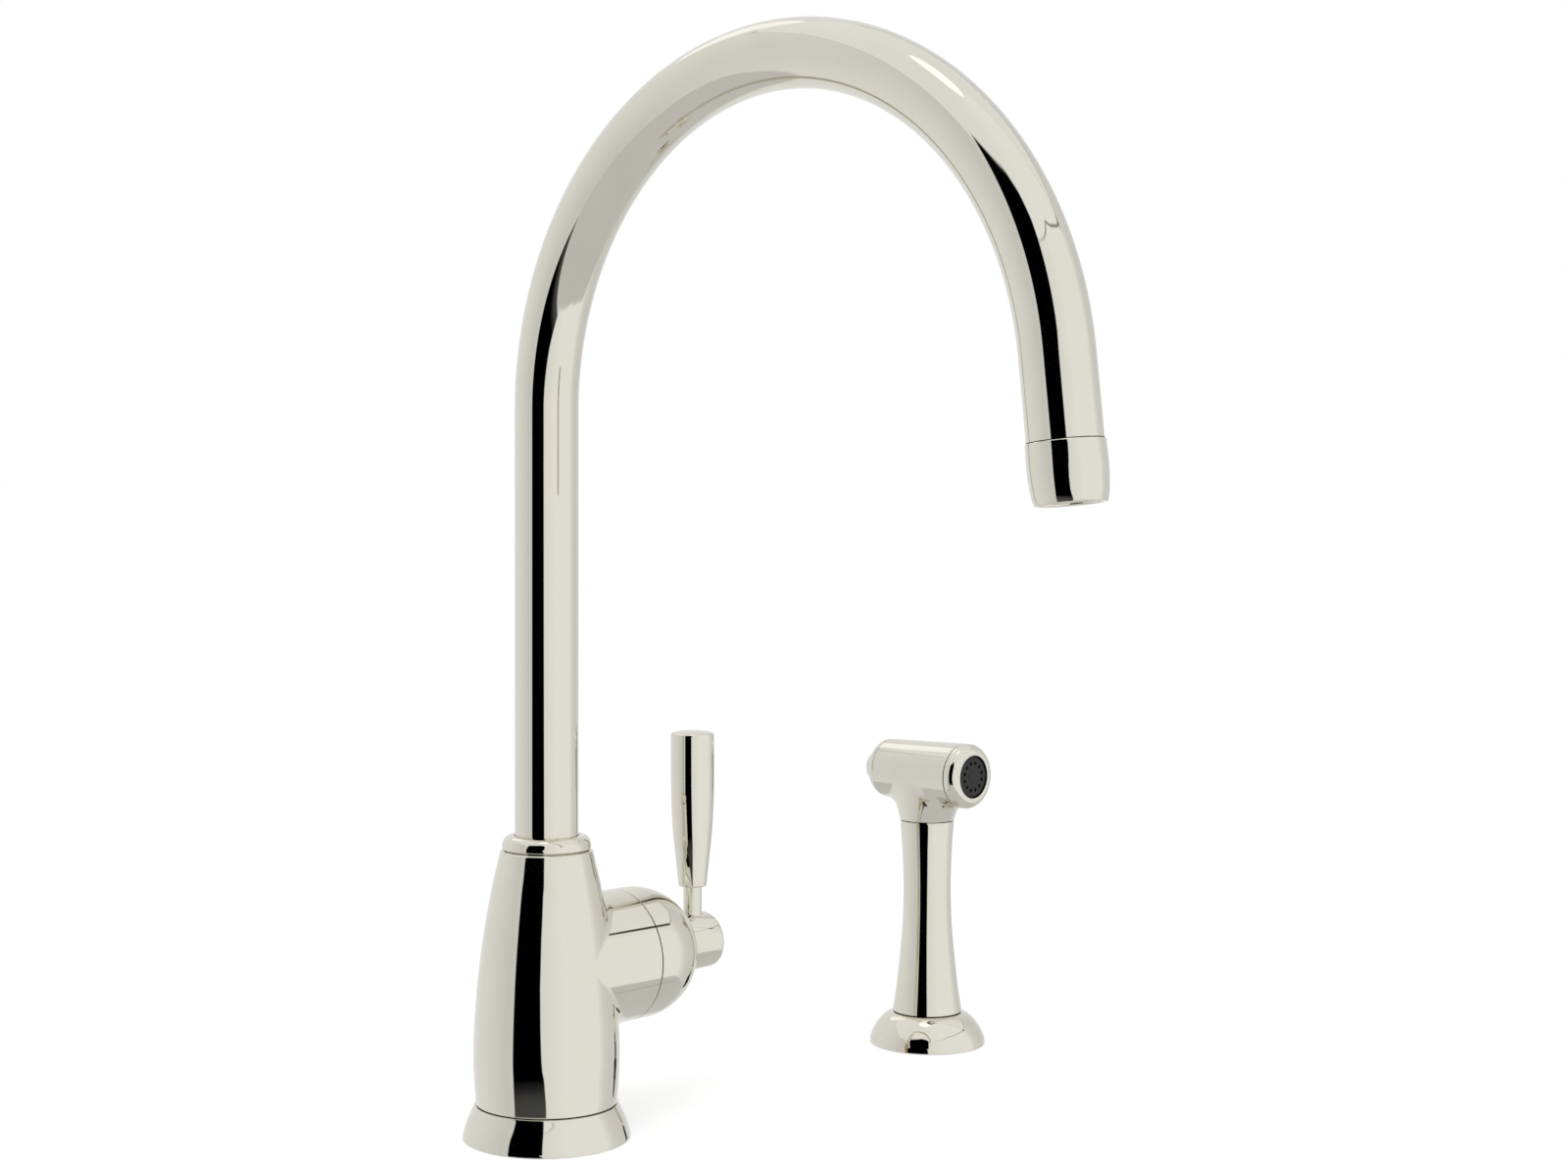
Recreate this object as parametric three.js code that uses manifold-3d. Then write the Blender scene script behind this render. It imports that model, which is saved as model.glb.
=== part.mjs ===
// Single-lever kitchen faucet with a gooseneck spout and a separate side spray.
// Millimetres, +Z up. The origin is on the top of the deck, on the faucet's own axis.
// The spout reaches towards -Y, over the basin; the lever and the side spray stand towards +X.
import * as THREE from 'three';
import { mergeVertices } from 'three/addons/utils/BufferGeometryUtils.js';
import Module from 'manifold-3d';

const wasm = await Module();
wasm.setup();

// ---------------------------------------------------------------- driving sizes
const GAP = 0.3;                 // between two pieces that touch or seat on each other
const RUNNING_GAP = 0.5;         // round a piece that turns in a bore
const ROUND = 20;                // facets round a large piece
const FINE = 14;                 // facets round a middling piece
const SMALL = 8;                 // facets round a small piece
const degrees = THREE.MathUtils.degToRad;

const TUBE_R = 11.1;             // spout tube, 22.2 mm outside
const TUBE_WALL = 1.2;
const BEND_R = 110.3;            // gooseneck centreline radius
const BEND_CENTRE_Z = 251;
const BEND_SWEEP = degrees(173.45);
const OUTLET_STRAIGHT = 24.7;    // straight stretch from the bend to the aerator
const AERATOR_LENGTH = 18.1;

const FLANGE_R = 29.3;           // base flange at the deck
const FLANGE_H = 12.1;
const BODY_FOOT_R = 24.5;
const BODY_BELLY_R = 25.4;
const BODY_TOP = 97.3;
const BODY_TOP_WALL = 2;
const COLLAR_H = 7.2;

const HUB_Z = 58.2;              // height of the lever's turning axis
const BOSS_R = 23.3;             // boss on the body's side, and the dome that covers it
const BOSS_WALL = 2.8;           // round the cartridge's nut
const BOSS_END = 35.1;           // boss face, from the faucet axis
const FILLET_R = 5;              // between body and boss
const DOME_WALL = 1.8;
const KNOB_R = 10.2;
const DOME_STRAIGHT = 5.2;       // straight stretch of the dome, before it rounds off
const KNOB_LENGTH = 14;          // past the top of the dome
const STEM_R = 3.4;
const STEM_INSET = 7.2;          // lever stem's axis, from the knob's end
const STEM_SHOWN = 10;           // bare stem between the knob and the grip
const GRIP_R = 8;
const GRIP_LENGTH = 57;
const TURN_LIMIT = degrees(45);  // each way, for the temperature
const TILT_LIMIT = degrees(15);  // for the flow

const SPRAY_X = 203.2;           // side spray hole, 8 inches from the faucet's
const HOLDER_R = 23;
const HOLDER_H = 12.5;
const HANDLE_TOP = 90.4;
const HANDLE_TOP_R = 11;
const HANDLE_WAIST_R = 9.65;
const NECK_RISE = 5.6;           // from the handle to the underside of the spray head's barrel
const NECK_FILLET_R = 8;         // at the rear, where the neck flares most
const NECK_FRONT_FILLET_R = 6.5;
const BARREL_FRONT_R = 12.9;
const BARREL_REAR_R = 11.9;
const BARREL_FRONT = -24.4;      // along the barrel, - is the spraying side
const BARREL_REAR = 23.8;
const SPRAY_HOLES = 12;
const BUTTON_R = 6.2;
const BUTTON_TRAVEL = 2.5;

const DECK_THICKNESS = 20;       // the deck that the nuts are drawn up against
const SHANK_R = 16;              // threaded shank of the faucet
const SHANK_BORE = 12.6;
const SHANK_LENGTH = 58;         // below the deck
const PORT_R = 4;                // inlet and outlet nipples, 8 mm outside
const PORT_CIRCLE = 7.4;
const WATERWAY_R = 2.6;
const GUIDE_R = 11;              // threaded shank of the spray guide
const GUIDE_BORE = 9;
const GUIDE_LENGTH = 42;

// ---------------------------------------------------------------- finishes
const finish = (color, roughness, metalness) =>
  new THREE.MeshStandardMaterial({ color, roughness, metalness });
const nickel = () => finish(0xcdc8b8, 0.12, 1);
const brass = () => finish(0xb08d4f, 0.35, 1);
const steel = () => finish(0xa9adb0, 0.3, 1);
const rubber = () => finish(0x1c1c1c, 0.85, 0);
const darkPlastic = () => finish(0x3a3a3a, 0.5, 0);
const palePlastic = () => finish(0xe4e2dc, 0.5, 0);
const ceramic = () => finish(0xf2efe6, 0.25, 0);

// ---------------------------------------------------------------- shaping tools
// A geometry with shared corners, no slivers and its faces pointing out.
function tidy(geometry) {
  let bare = new THREE.BufferGeometry();
  const source = geometry.index ? geometry.toNonIndexed() : geometry;
  bare.setAttribute('position', source.getAttribute('position').clone());
  bare = mergeVertices(bare, 1e-4);
  const place = bare.getAttribute('position');
  const kept = [];
  let volume = 0;
  const a = new THREE.Vector3();
  const b = new THREE.Vector3();
  const c = new THREE.Vector3();
  for (let i = 0; i < bare.index.count; i += 3) {
    const corners = [0, 1, 2].map((k) => bare.index.getX(i + k));
    if (new Set(corners).size < 3) continue;
    kept.push(...corners);
    a.fromBufferAttribute(place, corners[0]);
    b.fromBufferAttribute(place, corners[1]);
    c.fromBufferAttribute(place, corners[2]);
    volume += a.dot(b.cross(c)) / 6;
  }
  if (volume < 0) {
    for (let i = 0; i < kept.length; i += 3) [kept[i], kept[i + 1]] = [kept[i + 1], kept[i]];
  }
  bare.setIndex(kept);
  return bare;
}

function toSolid(geometry) {
  const clean = tidy(geometry);
  return new wasm.Manifold(new wasm.Mesh({
    numProp: 3,
    vertProperties: Float32Array.from(clean.getAttribute('position').array),
    triVerts: Uint32Array.from(clean.index.array),
  }));
}

function toGeometry(solid) {
  const mesh = solid.getMesh();
  const geometry = new THREE.BufferGeometry();
  const corners = Float32Array.from(mesh.vertProperties);
  geometry.setAttribute('position', new THREE.BufferAttribute(corners, 3));
  geometry.setIndex(Array.from(mesh.triVerts));
  return geometry;
}

function cut(base, ...tools) {
  return toGeometry(tools.reduce((solid, tool) => solid.subtract(toSolid(tool)), toSolid(base)));
}

function join(base, ...others) {
  return toGeometry(others.reduce((solid, other) => solid.add(toSolid(other)), toSolid(base)));
}

// A closed outline of [radius, height] points turned about the Z axis.
function turned(outline, facets = FINE) {
  const points = outline.map(([r, z]) => new THREE.Vector2(Math.max(r, 0), z));
  const first = points[0];
  const last = points[points.length - 1];
  const onAxis = first.x === 0 && last.x === 0;
  if (!onAxis && !first.equals(last)) points.push(first.clone());
  const geometry = new THREE.LatheGeometry(points, facets);
  geometry.rotateX(Math.PI / 2);
  return geometry;
}

const rod = (r, low, high, facets = FINE) => turned([[0, low], [r, low], [r, high], [0, high]], facets);
const ring = (inner, outer, low, high, facets = FINE) =>
  turned([[inner, low], [outer, low], [outer, high], [inner, high]], facets);
const block = (x, y, z, cx = 0, cy = 0, cz = 0) => new THREE.BoxGeometry(x, y, z).translate(cx, cy, cz);
const toX = (geometry) => geometry.rotateY(Math.PI / 2);
const toY = (geometry) => geometry.rotateX(-Math.PI / 2);
const moved = (geometry, x, y, z) => geometry.translate(x, y, z);

// A smooth outline through a few [radius, height] points.
const smooth = (points, pieces) =>
  new THREE.SplineCurve(points.map(([r, z]) => new THREE.Vector2(r, z))).getPoints(pieces)
    .map((p) => [p.x, p.y]);

// Points of a circular arc in an outline, from one angle to another in degrees.
function arc(centreR, centreZ, radius, from, to, pieces) {
  const points = [];
  for (let i = 0; i <= pieces; i++) {
    const angle = degrees(from + (to - from) * i / pieces);
    points.push([centreR + radius * Math.cos(angle), centreZ + radius * Math.sin(angle)]);
  }
  return points;
}

// A circle of evenly spaced corners, for sections and holes.
const circle = (x, y, r, corners) => new THREE.EllipseCurve(x, y, r, r).getPoints(corners).slice(0, corners);

// A round rubber ring: its centre circle's radius, its section's radius and its height.
const oRing = (centreR, section, z) =>
  turned([...arc(centreR, z, section, 0, 288, 4), [centreR + section, z]], FINE);

// A six-sided nut with a round bore.
function hexNut(acrossFlats, bore, low, high) {
  const outer = rod(acrossFlats / 2 / Math.cos(Math.PI / 6), low, high, 6);
  return cut(outer, rod(bore, low - 1, high + 1, FINE));
}

// A fillet where two round forms meet: a ball of the fillet's radius rolls round the joint, and at
// each step the place of its centre and the two points it touches are known. The ring's section is
// the arc between those points and one point inside the metal.
function rollingFillet(steps, station) {
  const arcPieces = 2;
  const positions = [];
  const sectionCount = arcPieces + 2;
  for (let i = 0; i < steps; i++) {
    const { centre, touchA, touchB, inside } = station(2 * Math.PI * i / steps);
    const from = touchA.clone().sub(centre);
    const to = touchB.clone().sub(centre);
    const angle = from.angleTo(to);
    for (let k = 0; k <= arcPieces; k++) {
      const part = k / arcPieces;
      const point = from.clone().multiplyScalar(Math.sin((1 - part) * angle) / Math.sin(angle));
      point.addScaledVector(to, Math.sin(part * angle) / Math.sin(angle)).add(centre);
      positions.push(...point.toArray());
    }
    positions.push(...inside.toArray());
  }
  const index = [];
  for (let i = 0; i < steps; i++) {
    const next = (i + 1) % steps;
    for (let k = 0; k < sectionCount; k++) {
      const along = (k + 1) % sectionCount;
      const a = i * sectionCount + k;
      const b = i * sectionCount + along;
      const c = next * sectionCount + along;
      const d = next * sectionCount + k;
      index.push(a, b, c, a, c, d);
    }
  }
  const geometry = new THREE.BufferGeometry();
  geometry.setAttribute('position', new THREE.Float32BufferAttribute(positions, 3));
  geometry.setIndex(index);
  return geometry;
}

// ---------------------------------------------------------------- the assembly
const faucet = new THREE.Group();
faucet.name = 'side_spray_kitchen_faucet';

function piece(name, geometry, material, group = faucet) {
  const mesh = new THREE.Mesh(tidy(geometry), material);
  mesh.name = name;
  group.add(mesh);
  return mesh;
}

// The hub group's own +Z lies along the lever's turning axis, and its -X points up.
const hub = new THREE.Group();
hub.position.z = HUB_Z;
hub.rotation.y = Math.PI / 2;
faucet.add(hub);

const spray = new THREE.Group();
spray.position.x = SPRAY_X;
faucet.add(spray);

// ---------------------------------------------------------------- base flange and deck gasket
const shankClearR = SHANK_R + GAP;
const flangeLip = 1;                                    // upright edge at the deck
const flangeTop = FLANGE_H - GAP;
const flangeTopR = BODY_FOOT_R + GAP;
const gasketDepth = 2.8;
const gasketInner = shankClearR + 2.7;
const gasketOuter = FLANGE_R - 2.5;
const flangeBlank = turned([
  [shankClearR, 0],
  [FLANGE_R, 0],
  ...smooth([[FLANGE_R, flangeLip], [flangeTopR + 2.9, flangeTop - 5.4], [flangeTopR, flangeTop]], 4),
  [shankClearR, flangeTop],
], ROUND);
piece('base_flange', cut(flangeBlank, ring(gasketInner, gasketOuter, -1, gasketDepth)), nickel());
piece('deck_gasket', ring(gasketInner + GAP, gasketOuter - GAP, 0, gasketDepth - GAP), rubber());

// ---------------------------------------------------------------- sizes inside the body
// The spout turns in a socket at the top: a sleeve on the tube's end runs in the socket's bore, and a
// bush above it is held by the collar.
const sleeveStep = 1.2;                                 // the sleeve's shoulder, past the tube
const sleeveR = TUBE_R + sleeveStep;
const socketR = sleeveR + RUNNING_GAP;
const socketDepth = 33.3;
const socketFloor = BODY_TOP - socketDepth;
const bushWall = 2.9;
const bushH = 2.7;
const bushOuter = TUBE_R + GAP + bushWall;
const counterR = bushOuter + GAP;                       // widened mouth for bush and collar
const counterFloor = BODY_TOP - 11.6;
const bodyTopR = counterR + BODY_TOP_WALL;

// The mixed water rises through a chamber below the socket.
const chamberR = 8.5;
const chamberFloor = HUB_Z - 9;

// The cartridge fills a stepped pocket along the hub axis.
const nutPocketR = BOSS_R - BOSS_WALL;
const nutPocketBack = BOSS_END - 8.1;
const pocketLedge = 2.5;
const pocketR = nutPocketR - pocketLedge;
const pocketBack = 15;

// Hot and cold come up from the shank and cross over to the cartridge; the third way goes down to the
// side spray.
const portX = PORT_CIRCLE * Math.cos(degrees(40));
const portY = PORT_CIRCLE * Math.sin(degrees(40));
const portReach = pocketR - 3.55;                       // from the pocket's axis to a port at its back
const portDown = Math.sqrt(portReach ** 2 - portY ** 2);
const sidePortZ = HUB_Z - portDown;
const shankGrip = 12;                                   // thread length of the shank in the body
const bodyFloor = FLANGE_H + shankGrip;
const nippleGrip = 6;                                   // thread length of a nipple in the body

// ---------------------------------------------------------------- body casting
// The outside is turned, the boss for the lever grows out of its side, and a rolling-ball fillet
// runs round where the two meet.
const bodySkin = smooth([
  [BODY_FOOT_R, FLANGE_H],
  [BODY_BELLY_R - 0.2, FLANGE_H + 9.9],
  [BODY_BELLY_R, FLANGE_H + 18.9],
  [BODY_BELLY_R - 0.7, HUB_Z - 13.2],
  [BODY_BELLY_R - 2.1, HUB_Z + 1.8],
  [bodyTopR + 4.7, BODY_TOP - 23.3],
  [bodyTopR + 2.3, BODY_TOP - 10.3],
  [bodyTopR, BODY_TOP],
], 8);

// Radius of the body's skin at a height, between the points of its outline.
function skinRadius(z) {
  const after = Math.max(1, bodySkin.findIndex((p) => p[1] >= z));
  const [r0, z0] = bodySkin[after - 1];
  const [r1, z1] = bodySkin[after];
  return r0 + (r1 - r0) * (z - z0) / (z1 - z0);
}
const skinSlope = (z) => (skinRadius(z + 1) - skinRadius(z - 1)) / 2;

const sink = 0.02;                                      // a fillet's edge starts just inside the metal
function bodyFilletStation(angle) {
  const y = (BOSS_R + FILLET_R) * Math.sin(angle);
  const z = HUB_Z + (BOSS_R + FILLET_R) * Math.cos(angle);
  const offset = skinRadius(z) + FILLET_R * Math.hypot(1, skinSlope(z));
  const x = Math.sqrt(offset * offset - y * y);
  const centre = new THREE.Vector3(x, y, z);
  const outwards = new THREE.Vector3(x / offset, y / offset, -skinSlope(z)).normalize();
  const touchA = centre.clone().addScaledVector(outwards, -FILLET_R - sink);
  const touchB = new THREE.Vector3(x, BOSS_R * Math.sin(angle), HUB_Z + BOSS_R * Math.cos(angle));
  return { centre, touchA, touchB, inside: deeper(centre, touchA, touchB, FILLET_R) };
}

// A point inside the metal, behind the middle of a fillet's arc.
function deeper(centre, touchA, touchB, depth) {
  const middle = touchA.clone().add(touchB).multiplyScalar(0.5);
  const inwards = middle.clone().sub(centre).normalize();
  return middle.addScaledVector(inwards, depth);
}

const bodyBlank = join(
  turned([[0, FLANGE_H], ...bodySkin, [0, BODY_TOP]], ROUND),
  moved(toX(rod(BOSS_R, 4, BOSS_END, ROUND)), 0, 0, HUB_Z),
  rollingFillet(ROUND, bodyFilletStation),
);
const nippleSocket = () => rod(PORT_R + GAP, bodyFloor - 1, bodyFloor + nippleGrip, SMALL);
const supplyBores = [portY, -portY].flatMap((y) => [
  moved(rod(WATERWAY_R, bodyFloor - 1, sidePortZ + WATERWAY_R, SMALL), portX, y, 0),
  moved(nippleSocket(), portX, y, 0),
  moved(toX(rod(WATERWAY_R, portX, pocketBack + 1, SMALL)), 0, y, sidePortZ),
]);
piece('faucet_body', cut(
  bodyBlank,
  rod(shankClearR, FLANGE_H - 1, bodyFloor, FINE),
  rod(socketR, socketFloor, BODY_TOP + 1, FINE),
  rod(counterR, counterFloor, BODY_TOP + 1, ROUND),
  rod(chamberR, chamberFloor, socketFloor + 1, FINE),
  moved(toX(rod(pocketR, pocketBack, BOSS_END + 1, FINE)), 0, 0, HUB_Z),
  moved(toX(rod(nutPocketR, nutPocketBack, BOSS_END + 1, FINE)), 0, 0, HUB_Z),
  moved(toX(rod(PORT_R, chamberR / 2, pocketBack + 1, SMALL)), 0, 0, HUB_Z),
  ...supplyBores,
  moved(rod(WATERWAY_R, bodyFloor - 1, chamberFloor + 1, SMALL), -PORT_CIRCLE, 0, 0),
  moved(nippleSocket(), -PORT_CIRCLE, 0, 0),
), nickel());

// ---------------------------------------------------------------- shank, washers and nut under the deck
piece('mounting_shank', ring(SHANK_BORE, SHANK_R, -SHANK_LENGTH, bodyFloor - GAP), brass());
const washerTop = -DECK_THICKNESS;
const washerR = SHANK_R + 11;
const rubberWasherH = 3;
const steelWasherH = 2;
const steelTop = washerTop - rubberWasherH - GAP;
const nutTop = steelTop - steelWasherH - GAP;
const shankNutH = 11;
const nutFlats = 2 * (SHANK_R + 4.5);
piece('shank_rubber_washer', ring(shankClearR, washerR, washerTop - rubberWasherH, washerTop), rubber());
piece('shank_steel_washer', ring(shankClearR, washerR, steelTop - steelWasherH, steelTop), steel());
piece('shank_nut', hexNut(nutFlats, shankClearR, nutTop - shankNutH, nutTop), brass());

// Three nipples hang through the shank: the hoses screw onto them, and no hose is modelled.
const nippleBottom = -SHANK_LENGTH - 14;
const collarBottom = -SHANK_LENGTH - 8;                 // a small collar that the hose's nut stops at
const collarDepth = 4;
const nipple = () => turned([
  [WATERWAY_R, nippleBottom],
  [PORT_R, nippleBottom],
  [PORT_R, collarBottom],
  [PORT_R + 0.7, collarBottom],
  [PORT_R + 0.7, collarBottom + collarDepth],
  [PORT_R, collarBottom + collarDepth],
  [PORT_R, bodyFloor + nippleGrip - GAP],
  [WATERWAY_R, bodyFloor + nippleGrip - GAP],
], SMALL);
piece('hot_inlet', moved(nipple(), portX, portY, 0), brass());
piece('cold_inlet', moved(nipple(), portX, -portY, 0), brass());
piece('spray_outlet', moved(nipple(), -PORT_CIRCLE, 0, 0), brass());

// ---------------------------------------------------------------- diverter in the mixed-water chamber
// Water rises past the plunger's head to the spout. When the side spray opens, the pressure under
// the head falls, it drops onto the cage's rim, and the water goes down to the spray outlet.
const cageBottom = HUB_Z - 5.5;
const cageTop = socketFloor - GAP;
const cageR = chamberR - GAP;
const cageWaistR = 6.6;                                 // lets the water round to the cross hole
const cageWaistHalf = 2.6;
const cageBore = 4.4;
const crossHoleR = 2;
piece('diverter_cage', cut(
  turned([
    [cageBore, cageBottom],
    [cageR, cageBottom],
    [cageR, HUB_Z - cageWaistHalf],
    [cageWaistR, HUB_Z - cageWaistHalf],
    [cageWaistR, HUB_Z + cageWaistHalf],
    [cageR, HUB_Z + cageWaistHalf],
    [cageR, cageTop],
    [cageBore, cageTop],
  ], FINE),
  moved(toX(rod(crossHoleR, -chamberR, chamberR, SMALL)), 0, 0, HUB_Z),
), darkPlastic());
const sleeveBore = 7;
const plungerLow = cageBottom - 1;
const plungerSeat = cageTop + GAP;
const plungerStemR = 1.6;
const plungerGuideR = 3.7;
const plungerGuideH = 2;
const plungerHeadR = sleeveBore - 1;
const plungerHeadH = 1.6;
piece('diverter_plunger', turned([
  [0, plungerLow],
  [plungerGuideR, plungerLow],
  [plungerGuideR, plungerLow + plungerGuideH],
  [plungerStemR, plungerLow + plungerGuideH],
  [plungerStemR, plungerSeat],
  [plungerHeadR, plungerSeat],
  [plungerHeadR, plungerSeat + plungerHeadH],
  [0, plungerSeat + plungerHeadH],
], SMALL), brass());

// ---------------------------------------------------------------- spout socket: washer, sleeve, seals, bush
const thrustLow = socketFloor + GAP;
const thrustH = 1.4;
const thrustWasher = ring(socketR - 3.5, socketR - GAP, thrustLow, thrustLow + thrustH);
piece('spout_thrust_washer', thrustWasher, palePlastic());

const sleeveLow = thrustLow + thrustH + GAP;
const tubeBottom = counterFloor - 1.7;
const tubeInner = TUBE_R - TUBE_WALL;
const plugR = tubeInner - GAP;                          // what is pushed into the tube's two ends
const plugTop = tubeBottom + 11;
const grooveH = 2.6;
const grooveDepth = 1.9;
const grooveR = sleeveR - grooveDepth;
const grooveLow = [sleeveLow + 3, sleeveLow + 10];
piece('spout_sleeve', turned([
  [sleeveBore, sleeveLow],
  [sleeveR, sleeveLow],
  ...grooveLow.flatMap((z) => [[sleeveR, z], [grooveR, z], [grooveR, z + grooveH], [sleeveR, z + grooveH]]),
  [sleeveR, tubeBottom - GAP],
  [plugR, tubeBottom - GAP],
  [plugR, plugTop],
  [sleeveBore, plugTop],
]), brass());
const sealSection = 0.9;
const sealCentreR = grooveR + GAP + sealSection;
piece('spout_seal_lower', oRing(sealCentreR, sealSection, grooveLow[0] + grooveH / 2), rubber());
piece('spout_seal_upper', oRing(sealCentreR, sealSection, grooveLow[1] + grooveH / 2), rubber());

const tubeClearR = TUBE_R + GAP;
const bushLow = counterFloor + GAP;
piece('spout_bush', ring(tubeClearR, bushOuter, bushLow, bushLow + bushH, ROUND), palePlastic());

// The collar is a rounded ring that screws into the body's mouth and holds the spout down.
const collarLow = BODY_TOP + GAP;
const collarTop = BODY_TOP + COLLAR_H;
const collarR = bushOuter + 1.2;
const collarSkirtLow = bushLow + bushH + GAP;
piece('spout_collar', turned([
  [tubeClearR, collarSkirtLow],
  [bushOuter, collarSkirtLow],
  [bushOuter, collarLow],
  ...smooth([
    [collarR - 0.5, collarLow], [collarR, collarLow + 3], [tubeClearR + 2.8, collarTop - 1.6],
    [tubeClearR + 1, collarTop],
  ], 5),
  [tubeClearR, collarTop - 0.3],
], ROUND), nickel());

// ---------------------------------------------------------------- gooseneck spout
const riserLength = BEND_CENTRE_Z - tubeBottom;
const bendLength = BEND_R * BEND_SWEEP;
const bendSteps = 16;

// The tube's centreline: up the riser, round the bend and down to the outlet. Its points are spread
// so that the straight stretches take one step each and the bend takes the rest.
class Gooseneck extends THREE.Curve {
  distance(u) {
    const step = u * (bendSteps + 2);
    if (step < 1) return riserLength * step;
    if (step <= bendSteps + 1) return riserLength + bendLength * (step - 1) / bendSteps;
    return riserLength + bendLength + OUTLET_STRAIGHT * (step - bendSteps - 1);
  }

  angle(u) {
    return THREE.MathUtils.clamp((this.distance(u) - riserLength) / BEND_R, 0, BEND_SWEEP);
  }

  getTangentAt(u, target = new THREE.Vector3()) {
    const turn = this.angle(u);
    return target.set(0, -Math.sin(turn), Math.cos(turn));
  }

  getPointAt(u, target = new THREE.Vector3()) {
    const distance = this.distance(u);
    const turn = this.angle(u);
    target.set(0, -BEND_R * (1 - Math.cos(turn)), BEND_CENTRE_Z + BEND_R * Math.sin(turn));
    if (distance < riserLength) target.z = tubeBottom + distance;
    const past = distance - riserLength - bendLength;
    if (past > 0) target.addScaledVector(this.getTangentAt(u), past);
    return target;
  }
}

const gooseneck = new Gooseneck();
const tubeSection = new THREE.Shape(circle(0, 0, TUBE_R, ROUND));
tubeSection.holes.push(new THREE.Path(circle(0, 0, tubeInner, FINE).reverse()));
piece('spout_tube', new THREE.ExtrudeGeometry(tubeSection, {
  steps: bendSteps + 2,
  extrudePath: gooseneck,
}), nickel());

// ---------------------------------------------------------------- aerator on the spout's end
// The outlet group's own -Z follows the tube's end, which leans a little outwards.
const outlet = new THREE.Group();
gooseneck.getPointAt(1, outlet.position);
outlet.rotation.x = -(Math.PI - BEND_SWEEP);
faucet.add(outlet);

const aeratorTopR = TUBE_R + 0.4;
const aeratorBottomR = TUBE_R - 0.6;
const aeratorBore = TUBE_R - 2.2;
const waterBore = plugR - 2;
const spigotTop = 8;
const spigotFloor = -3;
piece('aerator_housing', turned([
  [waterBore, spigotTop],
  [plugR, spigotTop],
  [plugR, -GAP],
  ...smooth([
    [aeratorTopR, -GAP], [aeratorTopR + 0.15, -8], [aeratorTopR - 0.3, -14.5],
    [aeratorBottomR, -AERATOR_LENGTH],
  ], 4),
  [aeratorBore + 0.5, -AERATOR_LENGTH],
  [aeratorBore, -AERATOR_LENGTH + 0.8],
  [aeratorBore, spigotFloor],
  [waterBore, spigotFloor],
], ROUND), nickel(), outlet);
const insertR = aeratorBore - GAP;
const washerFloor = -5;
piece('aerator_washer', ring(insertR - 2.4, insertR, washerFloor, spigotFloor - GAP), rubber(), outlet);

// The insert's face is a comb of small holes on a regular pattern of triangles.
const insertLow = 2.6 - AERATOR_LENGTH;
const insertFloorH = 3;
const insertWall = 1.2;
const combPitch = 4;
const combHoleR = 1.4;
const insertFace = new THREE.Shape(circle(0, 0, insertR, FINE));
for (let row = -2; row <= 2; row++) {
  for (let column = -2; column <= 2; column++) {
    const x = combPitch * (column + row / 2);
    const y = combPitch * row * Math.sqrt(3) / 2;
    if (Math.hypot(x, y) > insertR - combHoleR - 1) continue;
    insertFace.holes.push(new THREE.Path(circle(x, y, combHoleR, 6).reverse()));
  }
}
const insertFloor = new THREE.ExtrudeGeometry(insertFace, { depth: insertFloorH, bevelEnabled: false });
piece('aerator_insert', join(
  moved(insertFloor, 0, 0, insertLow),
  ring(insertR - insertWall, insertR, insertLow + 1, washerFloor - GAP),
), darkPlastic(), outlet);

// ---------------------------------------------------------------- ceramic cartridge, along the hub axis
// From the pocket's back: base with three ports and their seals, a fixed disc, a disc that slides
// and turns on it, its carrier, the rotor with the pivot pin, and the spindle that the lever moves.
const DOME_R = BOSS_R;
const domeLow = BOSS_END + GAP;
const PIVOT_X = domeLow + DOME_STRAIGHT;                // the lever tilts about this point of the axis

const cartridgeBack = pocketBack + GAP;
const baseTop = cartridgeBack + 4.7;
const housingR = pocketR - GAP;
const housingBore = housingR - 2.5;
const discR = housingBore - RUNNING_GAP;
const discH = 3;
const fixedLow = baseTop + GAP;
const slidingLow = fixedLow + discH + GAP;
const carrierLow = slidingLow + discH + GAP;
const tailArm = 6.1;                                    // from the pivot to the ball on the spindle's tail
const carrierH = PIVOT_X - carrierLow - tailArm + 1.2;
const slidingR = discR - 2.9;                           // leaves room to slide

const discPortDown = discR - 5;                         // the ports move inwards from base to disc
const portHoleR = 2.4;
const portSeats = [[portDown, portY, 3.4], [portDown, -portY, 3.4], [0, 0, 4.3]];
const sealDepth = 1.5;
const sealSeats = portSeats.map(([down, across, r]) =>
  moved(rod(r, pocketBack - 1, cartridgeBack + sealDepth, SMALL), down, across, 0));
const baseHoles = portSeats.map(([down, across]) =>
  moved(rod(portHoleR, pocketBack - 1, baseTop + 1, SMALL), down, across, 0));
const baseSlots = [portY, -portY].map((across) =>
  block(portDown - discPortDown, 2 * portHoleR, 4, (portDown + discPortDown) / 2, across, baseTop));
piece('cartridge_base', cut(
  rod(housingR, cartridgeBack, baseTop, FINE), ...baseHoles, ...baseSlots, ...sealSeats,
), palePlastic(), hub);
const sealNames = ['hot_port_seal', 'cold_port_seal', 'mixed_port_seal'];
portSeats.forEach(([down, across, r], i) => {
  const seal = ring(portHoleR + 0.1, r - GAP, cartridgeBack, cartridgeBack + sealDepth - GAP, SMALL);
  piece(sealNames[i], moved(seal, down, across, 0), rubber(), hub);
});

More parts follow.
